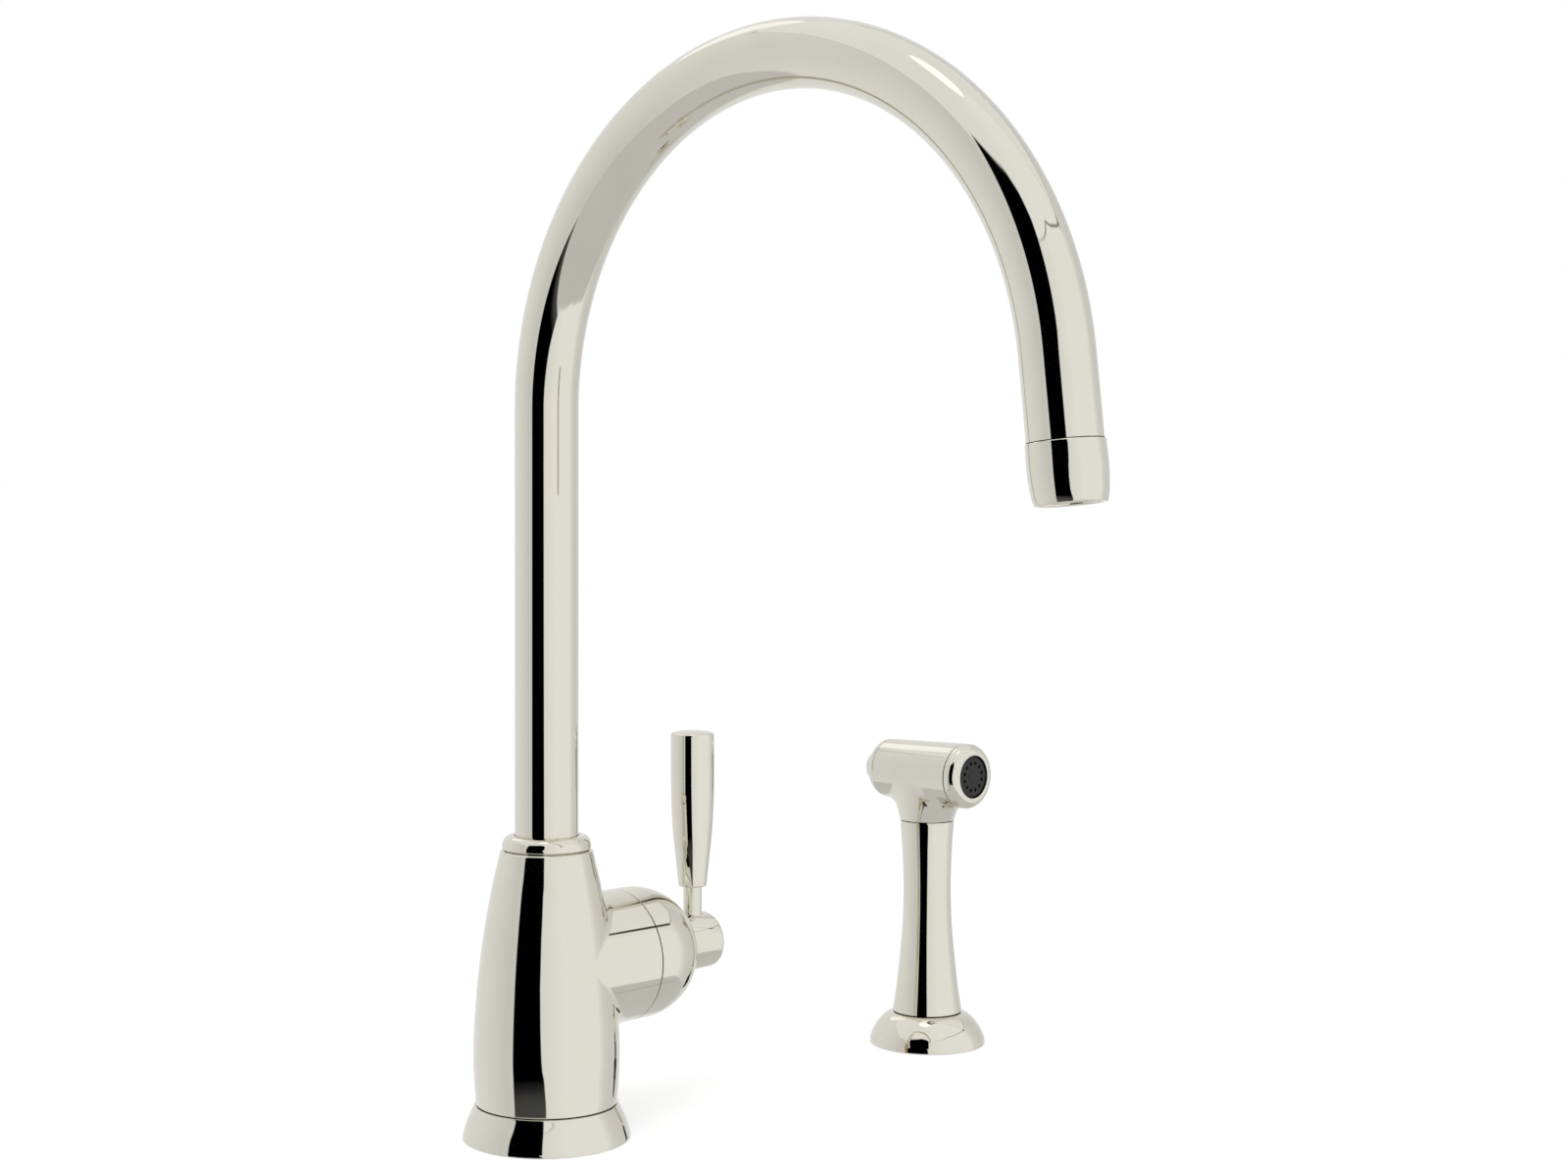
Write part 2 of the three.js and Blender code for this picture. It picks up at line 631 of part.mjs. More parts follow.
const discHoles = [[discPortDown, portY], [discPortDown, -portY], [0, 0]].map(([down, across]) =>
  moved(rod(portHoleR, fixedLow - 1, fixedLow + discH + 1, SMALL), down, across, 0));
piece('fixed_disc', cut(rod(discR, fixedLow, fixedLow + discH, FINE), ...discHoles), ceramic(), hub);
const mixingSlot = new THREE.CapsuleGeometry(3.2, 6, 4, SMALL).rotateZ(Math.PI / 2);
piece('sliding_disc', cut(
  rod(slidingR, slidingLow, slidingLow + discH, FINE),
  moved(mixingSlot, 4, 0, slidingLow - GAP),
), ceramic(), hub);
const tailSocketR = 2.9;
piece('disc_carrier', cut(
  rod(slidingR, carrierLow, carrierLow + carrierH, FINE),
  rod(tailSocketR, carrierLow + carrierH - 4, carrierLow + carrierH + 1, SMALL),
), darkPlastic(), hub);

const rotorLow = carrierLow + carrierH + GAP;
const rotorTop = PIVOT_X + 2.9;
const slotHalf = 3.6;                                   // half width of the rotor's slot
const slotReach = 7;
const pinR = 1.5;
const pinHalf = discR - 2;
const pinHole = () => moved(toY(rod(pinR + GAP, -discR - 1, discR + 1, 12)), 0, 0, PIVOT_X);
piece('cartridge_rotor', cut(
  rod(discR, rotorLow, rotorTop, FINE),
  block(2 * slotReach, 2 * slotHalf, 20, 0, 0, PIVOT_X),
  pinHole(),
), palePlastic(), hub);
piece('spindle_pin', moved(toY(rod(pinR, -pinHalf, pinHalf, 12)), 0, 0, PIVOT_X), steel(), hub);

const nutOuter = nutPocketR - GAP;
const shoulderLow = nutPocketBack + GAP;                // the housing's shoulder, which the nut clamps
const shoulderTop = shoulderLow + 2.2;
const housingNeckR = housingR - 0.2;
const housingMouthR = 9;
const housingTop = rotorTop + GAP + 2;
piece('cartridge_housing', turned([
  [housingBore, fixedLow],
  [housingR, fixedLow],
  [housingR, shoulderLow],
  [nutOuter, shoulderLow],
  [nutOuter, shoulderTop],
  [housingNeckR, shoulderTop],
  [housingNeckR, housingTop],
  [housingMouthR, housingTop],
  [housingMouthR, rotorTop + GAP],
  [housingBore, rotorTop + GAP],
]), darkPlastic(), hub);
const nutEnd = BOSS_END + 3.6;
piece('cartridge_nut', ring(housingR, nutOuter, shoulderTop + GAP, nutEnd), brass(), hub);

// The spindle rocks on the pin: its tail moves the disc carrier and its shaft carries the knob.
const spindleR = 3;
const tailR = 2.1;
const tailBallR = 2.4;
const tailBallX = PIVOT_X - tailArm;
const knobEnd = PIVOT_X + DOME_R + KNOB_LENGTH;
const stemX = knobEnd - STEM_INSET;
const spindleEnd = stemX - STEM_R - 1;
const spindleFlats = 2 * (slotHalf - GAP);
piece('cartridge_spindle', cut(
  join(
    rod(spindleR, PIVOT_X, spindleEnd, SMALL),
    rod(tailR, tailBallX - 1, PIVOT_X, SMALL),
    moved(new THREE.SphereGeometry(tailBallR, 12, 8).rotateX(Math.PI / 2), 0, 0, tailBallX),
    block(spindleFlats, spindleFlats, spindleFlats, 0, 0, PIVOT_X),
  ),
  pinHole(),
), steel(), hub);

// ---------------------------------------------------------------- dome cover, shield and knob
// All three share one centre, the pivot, so the knob glides over the dome as the lever tilts.
const domeInner = DOME_R - DOME_WALL;
const domeThreadR = nutOuter + GAP;
const threadTop = nutEnd + GAP;
const spherePoints = (radius, from, to, pieces) => arc(0, PIVOT_X, radius, from, to, pieces);
const domeBlank = turned([
  [domeThreadR, domeLow],
  [DOME_R, domeLow],
  ...spherePoints(DOME_R, 0, 90, 6),
  [0, PIVOT_X + domeInner],
  ...spherePoints(domeInner, 80, 10, 5),
  [Math.sqrt(domeInner ** 2 - (threadTop - PIVOT_X) ** 2), threadTop],
  [domeThreadR, threadTop],
], ROUND);
// The opening follows the spindle: down for the flow, and round to both sides for the temperature.
const openingReach = DOME_R * Math.sin(TILT_LIMIT);
const openingR = spindleR + 0.6;
const cornerX = openingReach * Math.cos(TURN_LIMIT);
const cornerY = openingReach * Math.sin(TURN_LIMIT);
const sideways = TURN_LIMIT + Math.PI / 2;
const fan = new THREE.Shape();
fan.absarc(0, 0, openingReach + openingR, -TURN_LIMIT, TURN_LIMIT, false);
fan.absarc(cornerX, cornerY, openingR, TURN_LIMIT, sideways, false);
fan.absarc(0, 0, openingR, sideways, 2 * Math.PI - sideways, false);
fan.absarc(cornerX, -cornerY, openingR, -sideways, -TURN_LIMIT, false);
const fanCut = new THREE.ExtrudeGeometry(fan, { depth: DOME_R, bevelEnabled: false, curveSegments: 4 });
piece('dome_cover', cut(domeBlank, moved(fanCut, 0, 0, PIVOT_X + domeInner - 6)), nickel(), hub);

const shieldOuter = domeInner - 0.7;
const shieldInner = shieldOuter - 0.9;
const shieldEdge = 50;                                  // degrees up from the sphere's equator
piece('dome_shield', cut(
  turned([
    ...spherePoints(shieldOuter, shieldEdge, 90, 2),
    ...spherePoints(shieldInner, 90, shieldEdge, 2),
  ]),
  rod(spindleR + GAP, PIVOT_X, PIVOT_X + DOME_R, SMALL),
), darkPlastic(), hub);

const knobEdge = 1.8;
const knobFoot = new THREE.SphereGeometry(DOME_R + GAP, ROUND, 12).rotateX(Math.PI / 2);
const stemBoreFloor = 2.5;                              // above the hub axis
const screwX = spindleEnd - 0.4;
const screwR = 1.4;
const screwEnd = KNOB_R - 1;
const hexSocketR = 0.75;
piece('handle_knob', cut(
  turned([
    [0, PIVOT_X + DOME_R - 8],
    [KNOB_R, PIVOT_X + DOME_R - 8],
    ...arc(KNOB_R - knobEdge, knobEnd - knobEdge, knobEdge, 0, 90, 3),
    [0, knobEnd],
  ], ROUND),
  moved(knobFoot, 0, 0, PIVOT_X),
  rod(spindleR + GAP, PIVOT_X, spindleEnd + GAP, SMALL),
  toX(rod(STEM_R + GAP, -2 * KNOB_R, -stemBoreFloor, SMALL)).translate(0, 0, stemX),
  toX(rod(screwR + GAP, 0, 2 * KNOB_R, SMALL)).translate(0, 0, screwX),
), nickel(), hub);
piece('knob_grub_screw', cut(
  toX(rod(screwR, spindleR + GAP, screwEnd, SMALL)),
  toX(rod(hexSocketR, screwEnd - 3, screwEnd + 1, 6)),
).translate(0, 0, screwX), steel(), hub);

// ---------------------------------------------------------------- lever stem and grip, standing on the knob
const gripLow = HUB_Z + KNOB_R + STEM_SHOWN;
const gripTop = gripLow + GRIP_LENGTH;
const gripBore = STEM_R + GAP;
const gripFootR = gripBore + 1.2;
const stemTop = gripLow + 14;
const stem = rod(STEM_R, HUB_Z + stemBoreFloor + GAP, stemTop, SMALL);
piece('lever_stem', moved(stem, stemX, 0, 0), nickel());
const grip = turned([
  [gripBore, gripLow],
  [gripFootR, gripLow],
  ...smooth([
    [gripFootR + 0.3, gripLow + 0.4], [GRIP_R - 1.9, gripLow + 8.8], [GRIP_R - 0.8, gripLow + 19.3],
    [GRIP_R - 0.15, gripLow + 30.3], [GRIP_R, gripLow + 40.3], [GRIP_R, gripTop - 1.8],
  ], 6),
  [GRIP_R - 0.3, gripTop - 1],
  [GRIP_R - 1.2, gripTop - 0.6],
  [GRIP_R / 2, gripTop - 0.15],
  [0, gripTop],
  [0, stemTop + GAP],
  [gripBore, stemTop + GAP],
]);
piece('lever_grip', moved(grip, stemX, 0, 0), nickel());

// ---------------------------------------------------------------- side spray: holder, guide and nut
const holderBore = GUIDE_R + GAP;
const guideHeadR = GUIDE_R + 2.3;
const guideSeat = HOLDER_H - 4.5;
const holderTopR = guideHeadR + 0.9;
const holderLip = 2.2;
const sprayGasketInner = holderBore + 2.7;
const sprayGasketOuter = HOLDER_R - 2.5;
const holderBlank = turned([
  [holderBore, 0],
  [HOLDER_R, 0],
  ...smooth([
    [HOLDER_R, holderLip], [HOLDER_R - 1.4, holderLip + 3.3], [HOLDER_R - 3.7, HOLDER_H - 3.6],
    [holderTopR + 2.4, HOLDER_H - 1.1], [holderTopR, HOLDER_H],
  ], 5),
  [holderBore, HOLDER_H],
], ROUND);
piece('spray_flange', cut(
  holderBlank,
  rod(guideHeadR + GAP, guideSeat, HOLDER_H + 1, FINE),
  ring(sprayGasketInner, sprayGasketOuter, -1, gasketDepth),
), nickel(), spray);
const sprayGasket = ring(sprayGasketInner + GAP, sprayGasketOuter - GAP, 0, gasketDepth - GAP);
piece('spray_gasket', sprayGasket, rubber(), spray);
piece('spray_guide', turned([
  [GUIDE_BORE, -GUIDE_LENGTH],
  [GUIDE_R, -GUIDE_LENGTH],
  [GUIDE_R, guideSeat + GAP],
  [guideHeadR, guideSeat + GAP],
  [guideHeadR, HOLDER_H],
  [GUIDE_BORE + 0.8, HOLDER_H],
  [GUIDE_BORE, HOLDER_H - 1],
]), darkPlastic(), spray);
const sprayWasher = ring(holderBore, GUIDE_R + 8, washerTop - rubberWasherH, washerTop);
piece('spray_washer', sprayWasher, rubber(), spray);
const sprayNutH = 8;
const sprayNutFlats = 2 * (GUIDE_R + 5);
const sprayNut = hexNut(sprayNutFlats, holderBore, steelTop - sprayNutH, steelTop);
piece('spray_nut', sprayNut, darkPlastic(), spray);

// ---------------------------------------------------------------- spray handle and hose connector
const handleLow = HOLDER_H + GAP;
const handleFootR = holderTopR - GAP;
const handleSkin = smooth([
  [handleFootR, handleLow],
  [HANDLE_WAIST_R + 2.95, handleLow + 8.7],
  [HANDLE_WAIST_R + 1.55, handleLow + 21.2],
  [HANDLE_WAIST_R + 0.4, handleLow + 33.9],
  [HANDLE_WAIST_R, handleLow + 44.2],
  [HANDLE_WAIST_R, HANDLE_TOP - 23.4],
  [HANDLE_WAIST_R + 0.5, HANDLE_TOP - 10.9],
  [HANDLE_TOP_R, HANDLE_TOP],
], 7);
const handleTail = -14;
const handleTailR = GUIDE_BORE - GAP;
const handleBore = 5.5;
const headSpigotR = HANDLE_WAIST_R - 1.65;
const headSpigotLow = HANDLE_TOP - 10.7;
const neckSealH = 2.2;
const connectorR = 5.8;
const connectorBore = 3.4;
const connectorSocket = handleTail + 10;
piece('spray_handle', cut(
  turned([
    [0, handleTail], [handleTailR, handleTail], [handleTailR, handleLow], ...handleSkin, [0, HANDLE_TOP],
  ]),
  rod(handleBore, handleTail - 1, HANDLE_TOP + 1, SMALL),
  rod(headSpigotR + GAP, headSpigotLow - neckSealH, HANDLE_TOP + 1, FINE),
  rod(connectorR + GAP, handleTail - 1, connectorSocket, FINE),
), nickel(), spray);
piece('hose_connector', join(
  ring(connectorBore, connectorR, handleTail - 6, connectorSocket - GAP, FINE),
  ring(connectorBore, connectorR + 1.8, handleTail - 8, handleTail - GAP, 6),
), brass(), spray);
// The seal turns in the handle's bore, so it stays inside the flats of it.
const hoseSealR = handleBore - 0.7;
const hoseSealLow = connectorSocket + GAP;
piece('hose_seal', ring(hoseSealR - 2.3, hoseSealR, hoseSealLow, hoseSealLow + 1.3, SMALL), rubber(), spray);

// ---------------------------------------------------------------- spray head
// A short barrel lies across the top of the handle; its neck flares into it with a rolling-ball
// fillet whose ball grows from the front to the rear. The head group's own +Z runs along the barrel
// to the rear, where the button is.
const barrelZ = HANDLE_TOP + NECK_RISE + BARREL_FRONT_R;
const head = new THREE.Group();
head.position.set(0, 0, barrelZ);
head.rotation.x = -Math.PI / 2;
spray.add(head);

const capBack = BARREL_FRONT + 5.5;                     // seam between the nozzle ring and the barrel
const neckR = HANDLE_TOP_R - 0.05;
const barrelMeanR = (BARREL_FRONT_R + BARREL_REAR_R) / 2;
function neckFilletStation(angle) {
  const rearward = (1 + Math.sin(angle)) / 2;
  const ball = NECK_FRONT_FILLET_R + (NECK_FILLET_R - NECK_FRONT_FILLET_R) * rearward;
  const reach = neckR + ball;
  const x = reach * Math.cos(angle);
  const y = reach * Math.sin(angle);
  const z = barrelZ - Math.sqrt((barrelMeanR + ball) ** 2 - x * x);
  const centre = new THREE.Vector3(x, y, z);
  const towardsBarrel = new THREE.Vector3(-x, 0, barrelZ - z).normalize();
  const touchA = centre.clone().addScaledVector(towardsBarrel, ball + sink);
  const touchB = new THREE.Vector3(neckR * Math.cos(angle), neckR * Math.sin(angle), z);
  return { centre, touchA, touchB, inside: deeper(centre, touchA, touchB, ball * 0.8) };
}
const frontBore = BARREL_FRONT_R - 2.5;
const frontFloor = BARREL_FRONT + 14.6;
const seatHoleR = 4;
const seatWall = 3.7;
const valveChamberR = BUTTON_R + 0.2;
const valveChamberFront = frontFloor + seatWall + 4;
const valveChamberBack = 8;
const rearRound = 5;
const seamRound = 0.4;
const riserBore = 4.5;
const headBore = (r, low, high, facets = FINE) => toY(rod(r, low, high, facets)).translate(0, 0, barrelZ);
const barrel = toY(turned([
  [0, capBack],
  [BARREL_FRONT_R - seamRound, capBack],
  [BARREL_FRONT_R, capBack + seamRound],
  [BARREL_REAR_R, BARREL_REAR - rearRound],
  ...arc(BARREL_REAR_R - rearRound, BARREL_REAR - rearRound, rearRound, 15, 90, 3),
  [0, BARREL_REAR],
], ROUND)).translate(0, 0, barrelZ);
const neck = join(
  barrel,
  rod(neckR, HANDLE_TOP + GAP, barrelZ, ROUND),
  rollingFillet(ROUND, neckFilletStation),
);
const neckSeam = rod(3 * neckR, headSpigotLow, HANDLE_TOP + GAP);    // the fillet ends at the handle
piece('spray_head', cut(
  join(cut(neck, neckSeam), rod(headSpigotR, headSpigotLow, barrelZ, FINE)),
  headBore(frontBore, capBack - 1, frontFloor, ROUND),
  headBore(seatHoleR, frontFloor - 1, valveChamberFront + 1),
  headBore(valveChamberR, valveChamberFront, valveChamberBack),
  headBore(BUTTON_R + GAP, valveChamberBack - 1, BARREL_REAR + 1),
  rod(riserBore, headSpigotLow - 1, barrelZ, SMALL),
), nickel(), spray);
const neckSealSection = neckSealH / 2 - GAP;
const neckSealZ = headSpigotLow - neckSealH / 2;
piece('neck_seal', oRing(headSpigotR - GAP - neckSealSection, neckSealSection, neckSealZ), rubber(), spray);

// ---------------------------------------------------------------- nozzle: ring, face, screen and gasket
const ringOuter = frontBore - GAP;
const ringInner = ringOuter - 1;
const ringBack = frontFloor - 2.2;
const ringLip = BARREL_FRONT + 2.3;
const ringRound = 3.8;
const faceR = ringInner - 1;
const faceClearR = faceR + GAP;
piece('nozzle_ring', turned([
  [faceClearR, BARREL_FRONT + 0.6],
  [faceClearR + 0.6, BARREL_FRONT],
  ...arc(BARREL_FRONT_R - ringRound, BARREL_FRONT + ringRound, ringRound, -90, 0, 3),
  [BARREL_FRONT_R, capBack - GAP - seamRound],
  [BARREL_FRONT_R - seamRound, capBack - GAP],
  [ringOuter, capBack - GAP],
  [ringOuter, ringBack],
  [ringInner, ringBack],
  [ringInner, ringLip],
  [faceClearR, ringLip],
], ROUND), nickel(), head);

const faceFront = BARREL_FRONT + 0.3;
const faceStep = 0.25;                                  // the middle stands a little proud
const faceMiddleR = 2.4;
const faceBack = BARREL_FRONT + 5.7;
const faceFloor = BARREL_FRONT + 3.3;
const faceShoulderR = ringInner - GAP;
const faceBlank = turned([
  [0, faceFront],
  [faceMiddleR, faceFront],
  [faceMiddleR + GAP, faceFront + faceStep],
  [faceR - 0.6, faceFront + faceStep],
  [faceR, faceFront + faceStep + 0.5],
  [faceR, ringLip + GAP],
  [faceShoulderR, ringLip + GAP],
  [faceShoulderR, faceBack],
  [faceR - 0.7, faceBack],
  [faceR - 0.7, faceFloor],
  [0, faceFloor],
]);
// Copies of a hole, evenly spaced on a circle about the barrel's axis.
const holesOn = (circleR, count, start, hole) => Array.from({ length: count }, (_, i) => {
  const angle = 2 * Math.PI * (i + start) / count;
  return moved(hole(), circleR * Math.cos(angle), circleR * Math.sin(angle), 0);
});
const jetR = 0.75;
const jets = holesOn(faceR - 2.7, SPRAY_HOLES, 0.5, () => rod(jetR, BARREL_FRONT - 1, faceFloor + 1, 6));
piece('nozzle_face', cut(faceBlank, ...jets), darkPlastic(), head);
const screenFront = faceBack + GAP;
const screenH = 0.8;
const screenHoles = holesOn(faceR - 2.9, 6, 0, () => rod(1.6, screenFront - 1, screenFront + 2, 6));
piece('nozzle_screen', cut(
  rod(faceShoulderR, screenFront, screenFront + screenH, FINE), ...screenHoles,
), palePlastic(), head);
const nozzleGasket = ring(ringInner - 0.9, ringOuter, ringBack + GAP, frontFloor - GAP);
piece('nozzle_gasket', nozzleGasket, rubber(), head);

// ---------------------------------------------------------------- spray valve: button, stem, spring, rubber
const stemR = 1.8;
const seatRubberR = seatHoleR + 1.6;
const seatRubberFront = frontFloor - 2;
const seatRubber = ring(stemR + GAP, seatRubberR, seatRubberFront, frontFloor - GAP, SMALL);
piece('valve_rubber', seatRubber, rubber(), head);
const guideFront = valveChamberBack + GAP;
const guideBack = valveChamberBack + 4.4;
piece('stem_guide', ring(stemR + GAP, BUTTON_R, guideFront, guideBack), brass(), head);
const buttonEnd = BARREL_REAR + 5;
const buttonRoof = buttonEnd - 3;
const buttonRound = 1.6;
const buttonWall = 1.3;
const buttonSkirtLow = guideBack + BUTTON_TRAVEL + 0.9;
piece('spray_button', turned([
  [0, buttonRoof],
  [BUTTON_R - buttonWall, buttonRoof],
  [BUTTON_R - buttonWall, buttonSkirtLow],
  [BUTTON_R, buttonSkirtLow],
  ...arc(BUTTON_R - buttonRound, buttonEnd - buttonRound - 0.6, buttonRound, 0, 75, 3),
  [BUTTON_R - 3.6, buttonEnd - 0.1],
  [0, buttonEnd],
]), nickel(), head);
const plateFront = seatRubberFront - GAP - 1.3;         // the plate that holds the rubber on the stem
piece('valve_stem', join(
  rod(stemR, plateFront, buttonRoof - GAP, SMALL),
  rod(seatHoleR + 0.6, plateFront, seatRubberFront - GAP, SMALL),
), steel(), head);

// The return spring stands between the guide and the button's roof.
const springR = 3.6;
const springTurns = 5;
const springWireR = 0.45;
const springLow = guideBack + GAP + springWireR;
const springHigh = buttonRoof - GAP - springWireR;
class SpringLine extends THREE.Curve {
  getPoint(u, target = new THREE.Vector3()) {
    const turn = 2 * Math.PI * springTurns * u;
    const height = springLow + (springHigh - springLow) * u;
    return target.set(springR * Math.cos(turn), springR * Math.sin(turn), height);
  }
}
piece('button_spring', new THREE.ExtrudeGeometry(new THREE.Shape(circle(0, 0, springWireR, 5)), {
  steps: springTurns * 7,
  extrudePath: new SpringLine(),
}), steel(), head);

export default faucet;
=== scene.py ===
import math

import bpy
from mathutils import Matrix, Vector


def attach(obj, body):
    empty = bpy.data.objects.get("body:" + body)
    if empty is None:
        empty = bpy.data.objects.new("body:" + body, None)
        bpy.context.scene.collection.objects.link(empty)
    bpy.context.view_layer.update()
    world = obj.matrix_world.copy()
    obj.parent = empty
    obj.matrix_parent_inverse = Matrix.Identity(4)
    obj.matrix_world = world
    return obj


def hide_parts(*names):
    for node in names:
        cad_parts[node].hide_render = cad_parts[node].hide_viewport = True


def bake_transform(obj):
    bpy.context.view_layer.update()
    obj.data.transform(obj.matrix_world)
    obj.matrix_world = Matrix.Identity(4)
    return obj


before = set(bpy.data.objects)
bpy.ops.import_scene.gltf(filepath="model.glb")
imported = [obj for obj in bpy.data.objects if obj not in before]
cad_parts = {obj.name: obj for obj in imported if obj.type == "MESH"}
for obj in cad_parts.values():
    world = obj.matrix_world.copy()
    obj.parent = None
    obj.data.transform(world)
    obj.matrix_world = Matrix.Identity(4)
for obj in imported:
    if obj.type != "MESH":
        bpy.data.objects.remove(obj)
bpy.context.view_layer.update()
scene = bpy.context.scene
MM = 0.001

# ---------------------------------------------------------------- camera
# A level camera 230 mm above the deck, in front of the faucet on its left, with a longish lens. The
# frame is moved a little off the lens's axis, as in the photograph.
camera_place = Vector((-564.7, -649.5, 230.7)) * MM
camera_turn = math.radians(-44.33)
camera = bpy.data.objects.new("camera", bpy.data.cameras.new("camera"))
camera.data.sensor_width = 36
camera.data.lens = 56.94
camera.data.shift_x = 0.0595
camera.data.shift_y = -0.0752
camera.location = camera_place
camera.rotation_euler = (math.pi / 2, 0, camera_turn)
scene.collection.objects.link(camera)
scene.camera = camera
scene.view_settings.view_transform = "Standard"

# ---------------------------------------------------------------- studio
# White floor without an edge, a white room for the lens and, for what the metal mirrors, the room
# seen all round: pale walls that darken towards the back, two lamps, and a black screen by the camera.
towards_camera = Vector((math.sin(camera_turn), -math.cos(camera_turn), 0))
camera_right = Vector((math.cos(camera_turn), math.sin(camera_turn), 0))
# How bright the walls are, at degrees round from the camera; where they end above and below, as
# sines; the same for the screen's top, and the screen's right side at sines of the height.
WALL_LEVELS = [
    (-180, 0.88), (-150, 0.88), (-112, 0.88), (-84, 0.81), (-62, 0.73), (2, 0.92), (32, 1.0), (94, 1.0),
    (98, 0.93), (108, 0.82), (121, 0.76), (137, 0.73), (155, 0.78), (180, 0.88)]
WALL_TOPS = [
    (-180, 0.77), (-150, 0.74), (-116, 0.7), (-99, 0.68), (-83, 0.63), (-61, 0.57), (-2, 0.57), (20, 0.63),
    (46, 0.7), (75, 0.65), (100, 0.575), (125, 0.62), (150, 0.7), (180, 0.77)]
WALL_DEPTHS = [
    (-180, 0.6), (-104, 0.6), (-91, 0.55), (-73, 0.62), (-63, 0.55), (-52, 0.4), (-6, 0.42), (20, 0.5),
    (45, 0.56), (75, 0.53), (94, 0.48), (110, 0.53), (180, 0.6)]
SCREEN_TOPS = [(-51, 0.63), (-36, 0.68), (-20, 0.73), (-8, 0.71), (-1, 0.63)]
SCREEN_RIGHTS = [(-0.38, 2), (-0.25, -3), (-0.1, -6), (0.0, -7), (0.12, -6), (0.26, -2.5), (0.7, -1.5)]
SCREEN_LEFT = -50.5
SCREEN_LOW = -0.44                 # the sine at which the screen begins to fade in from below
CORNER = 100                       # degrees round to the corner of the walls
LAMPS = [(-151, 42, 10.5, 1.22), (-50, 87, 8.5, 1.5)]     # degrees round, up and to the edge; level
GROUND, CEILING, ROOM = 0.65, 1.0, 0.82                   # levels
DEGREE = 1 / 360                   # in turns

room = bpy.data.worlds.new("studio_room")
room.use_nodes = True
scene.world = room
tree = room.node_tree
tree.nodes.clear()


def connect(node, **inputs):
    """Values, or links from sockets or nodes, into a node's inputs: _0 is the first, others go by name."""
    for key, value in inputs.items():
        number = key[0] == "_" and key[1:].isdigit()
        socket = node.inputs[int(key[1:]) if number else key.replace("_", " ")]
        if isinstance(value, (bpy.types.Node, bpy.types.NodeSocket)):
            node.id_data.links.new(getattr(value, "outputs", [value])[0], socket)
        else:
            socket.default_value = value


def add(tree, kind, settings=None, **inputs):
    """One node, of the tree's own sort unless the kind says another, with its settings and inputs."""
    node = tree.nodes.new(kind if "Node" in kind else tree.bl_idname.replace("Tree", kind))
    for key, value in (settings or {}).items():
        setattr(node, key, value)
    connect(node, **inputs)
    return node


def math_node(tree, operation, a, b=0.0, c=0.0, clamp=False):
    return add(tree, "ShaderNodeMath", {"operation": operation, "use_clamp": clamp}, _0=a, _1=b, _2=c)


def product(*values):
    result = values[0]
    for value in values[1:]:
        result = math_node(tree, "MULTIPLY", result, value)
    return result


def way(turn, across, up):
    """A direction that is turned by degrees from the camera, with its lengths across and up."""
    turn = math.radians(turn)
    return (camera_right * math.sin(turn) + towards_camera * math.cos(turn)) * across + Vector((0, 0, up))


def facing(direction):
    """The cosine of the angle between a direction and the one seen."""
    return add(tree, "VectorMath", {"operation": "DOT_PRODUCT"}, _0=seen_way, _1=direction).outputs["Value"]


def edge(value, start, end):
    """A soft step, from 0 at start to 1 at end."""
    return add(tree, "MapRange", {"interpolation_type": "SMOOTHSTEP"}, Value=value,
               From_Min=start, From_Max=end)


def disc(direction, wide, soft):
    """A round patch; half its width and the half of its soft edge are in degrees."""
    return edge(facing(direction), math.cos(math.radians(wide + soft)), math.cos(math.radians(wide - soft)))


def hairline(value, width):
    return edge(math_node(tree, "ABSOLUTE", value), width, width * 0.3)


def around_ramp(stops):
    """Levels at degrees round the room."""
    node = add(tree, "ValToRGB", Fac=around)
    elements = node.color_ramp.elements
    while len(elements) < len(stops):
        elements.new(1.0)
    for element, (angle, level) in zip(elements, stops):
        element.position = (angle + 180) / 360
        element.color = (level, level, level, 1)
    return node


def over(level, share, below):
    """A level laid over what is below by a share; each level is a number or a link."""
    level, below = ((v, v, v, 1) if isinstance(v, float) else v for v in (level, below))
    return add(tree, "Mix", {"data_type": "RGBA"}, _0=share, _6=below, _7=level).outputs[2]


seen_way = add(tree, "TexCoord").outputs["Generated"]
height = add(tree, "SeparateXYZ", Vector=seen_way).outputs["Z"]
turn = math_node(tree, "ARCTAN2", facing(camera_right), facing(towards_camera))
around = math_node(tree, "MULTIPLY_ADD", turn, 0.5 / math.pi, 0.5)
right_half = edge(around, 0.5, 0.62)

# Walls, ceiling and ground, with hairlines where they meet, the corner's line and its dark spot.
above = math_node(tree, "SUBTRACT", height, around_ramp(WALL_TOPS))
under = math_node(tree, "ADD", height, around_ramp(WALL_DEPTHS))
walls = around_ramp(WALL_LEVELS)
mirrored = over(over(CEILING, 0.75, walls), edge(above, -0.008, 0.008), walls)
mirrored = over(GROUND, edge(under, 0.02, -0.02), mirrored)
faint = math_node(tree, "MULTIPLY_ADD", right_half, 0.6, 0.25)
mirrored = over(0.2, product(hairline(above, 0.009), faint), mirrored)
mirrored = over(0.5, product(hairline(under, 0.014), product(right_half, 0.3)), mirrored)
corner = hairline(math_node(tree, "SUBTRACT", around, (CORNER + 180) * DEGREE), 0.8 * DEGREE)
outside = math_node(tree, "MAXIMUM", edge(above, 0.0, 0.01), edge(under, 0.0, -0.01))
mirrored = over(0.45, product(corner, product(outside, 0.7)), mirrored)
mirrored = over(0.05, disc(way(CORNER, 0.818, 0.575), 1.6, 0.8), mirrored)
for turn, rise, wide, level in LAMPS:
    rise = math.radians(rise)
    mirrored = over(level, disc(way(turn, math.cos(rise), math.sin(rise)), wide, 0.7), mirrored)

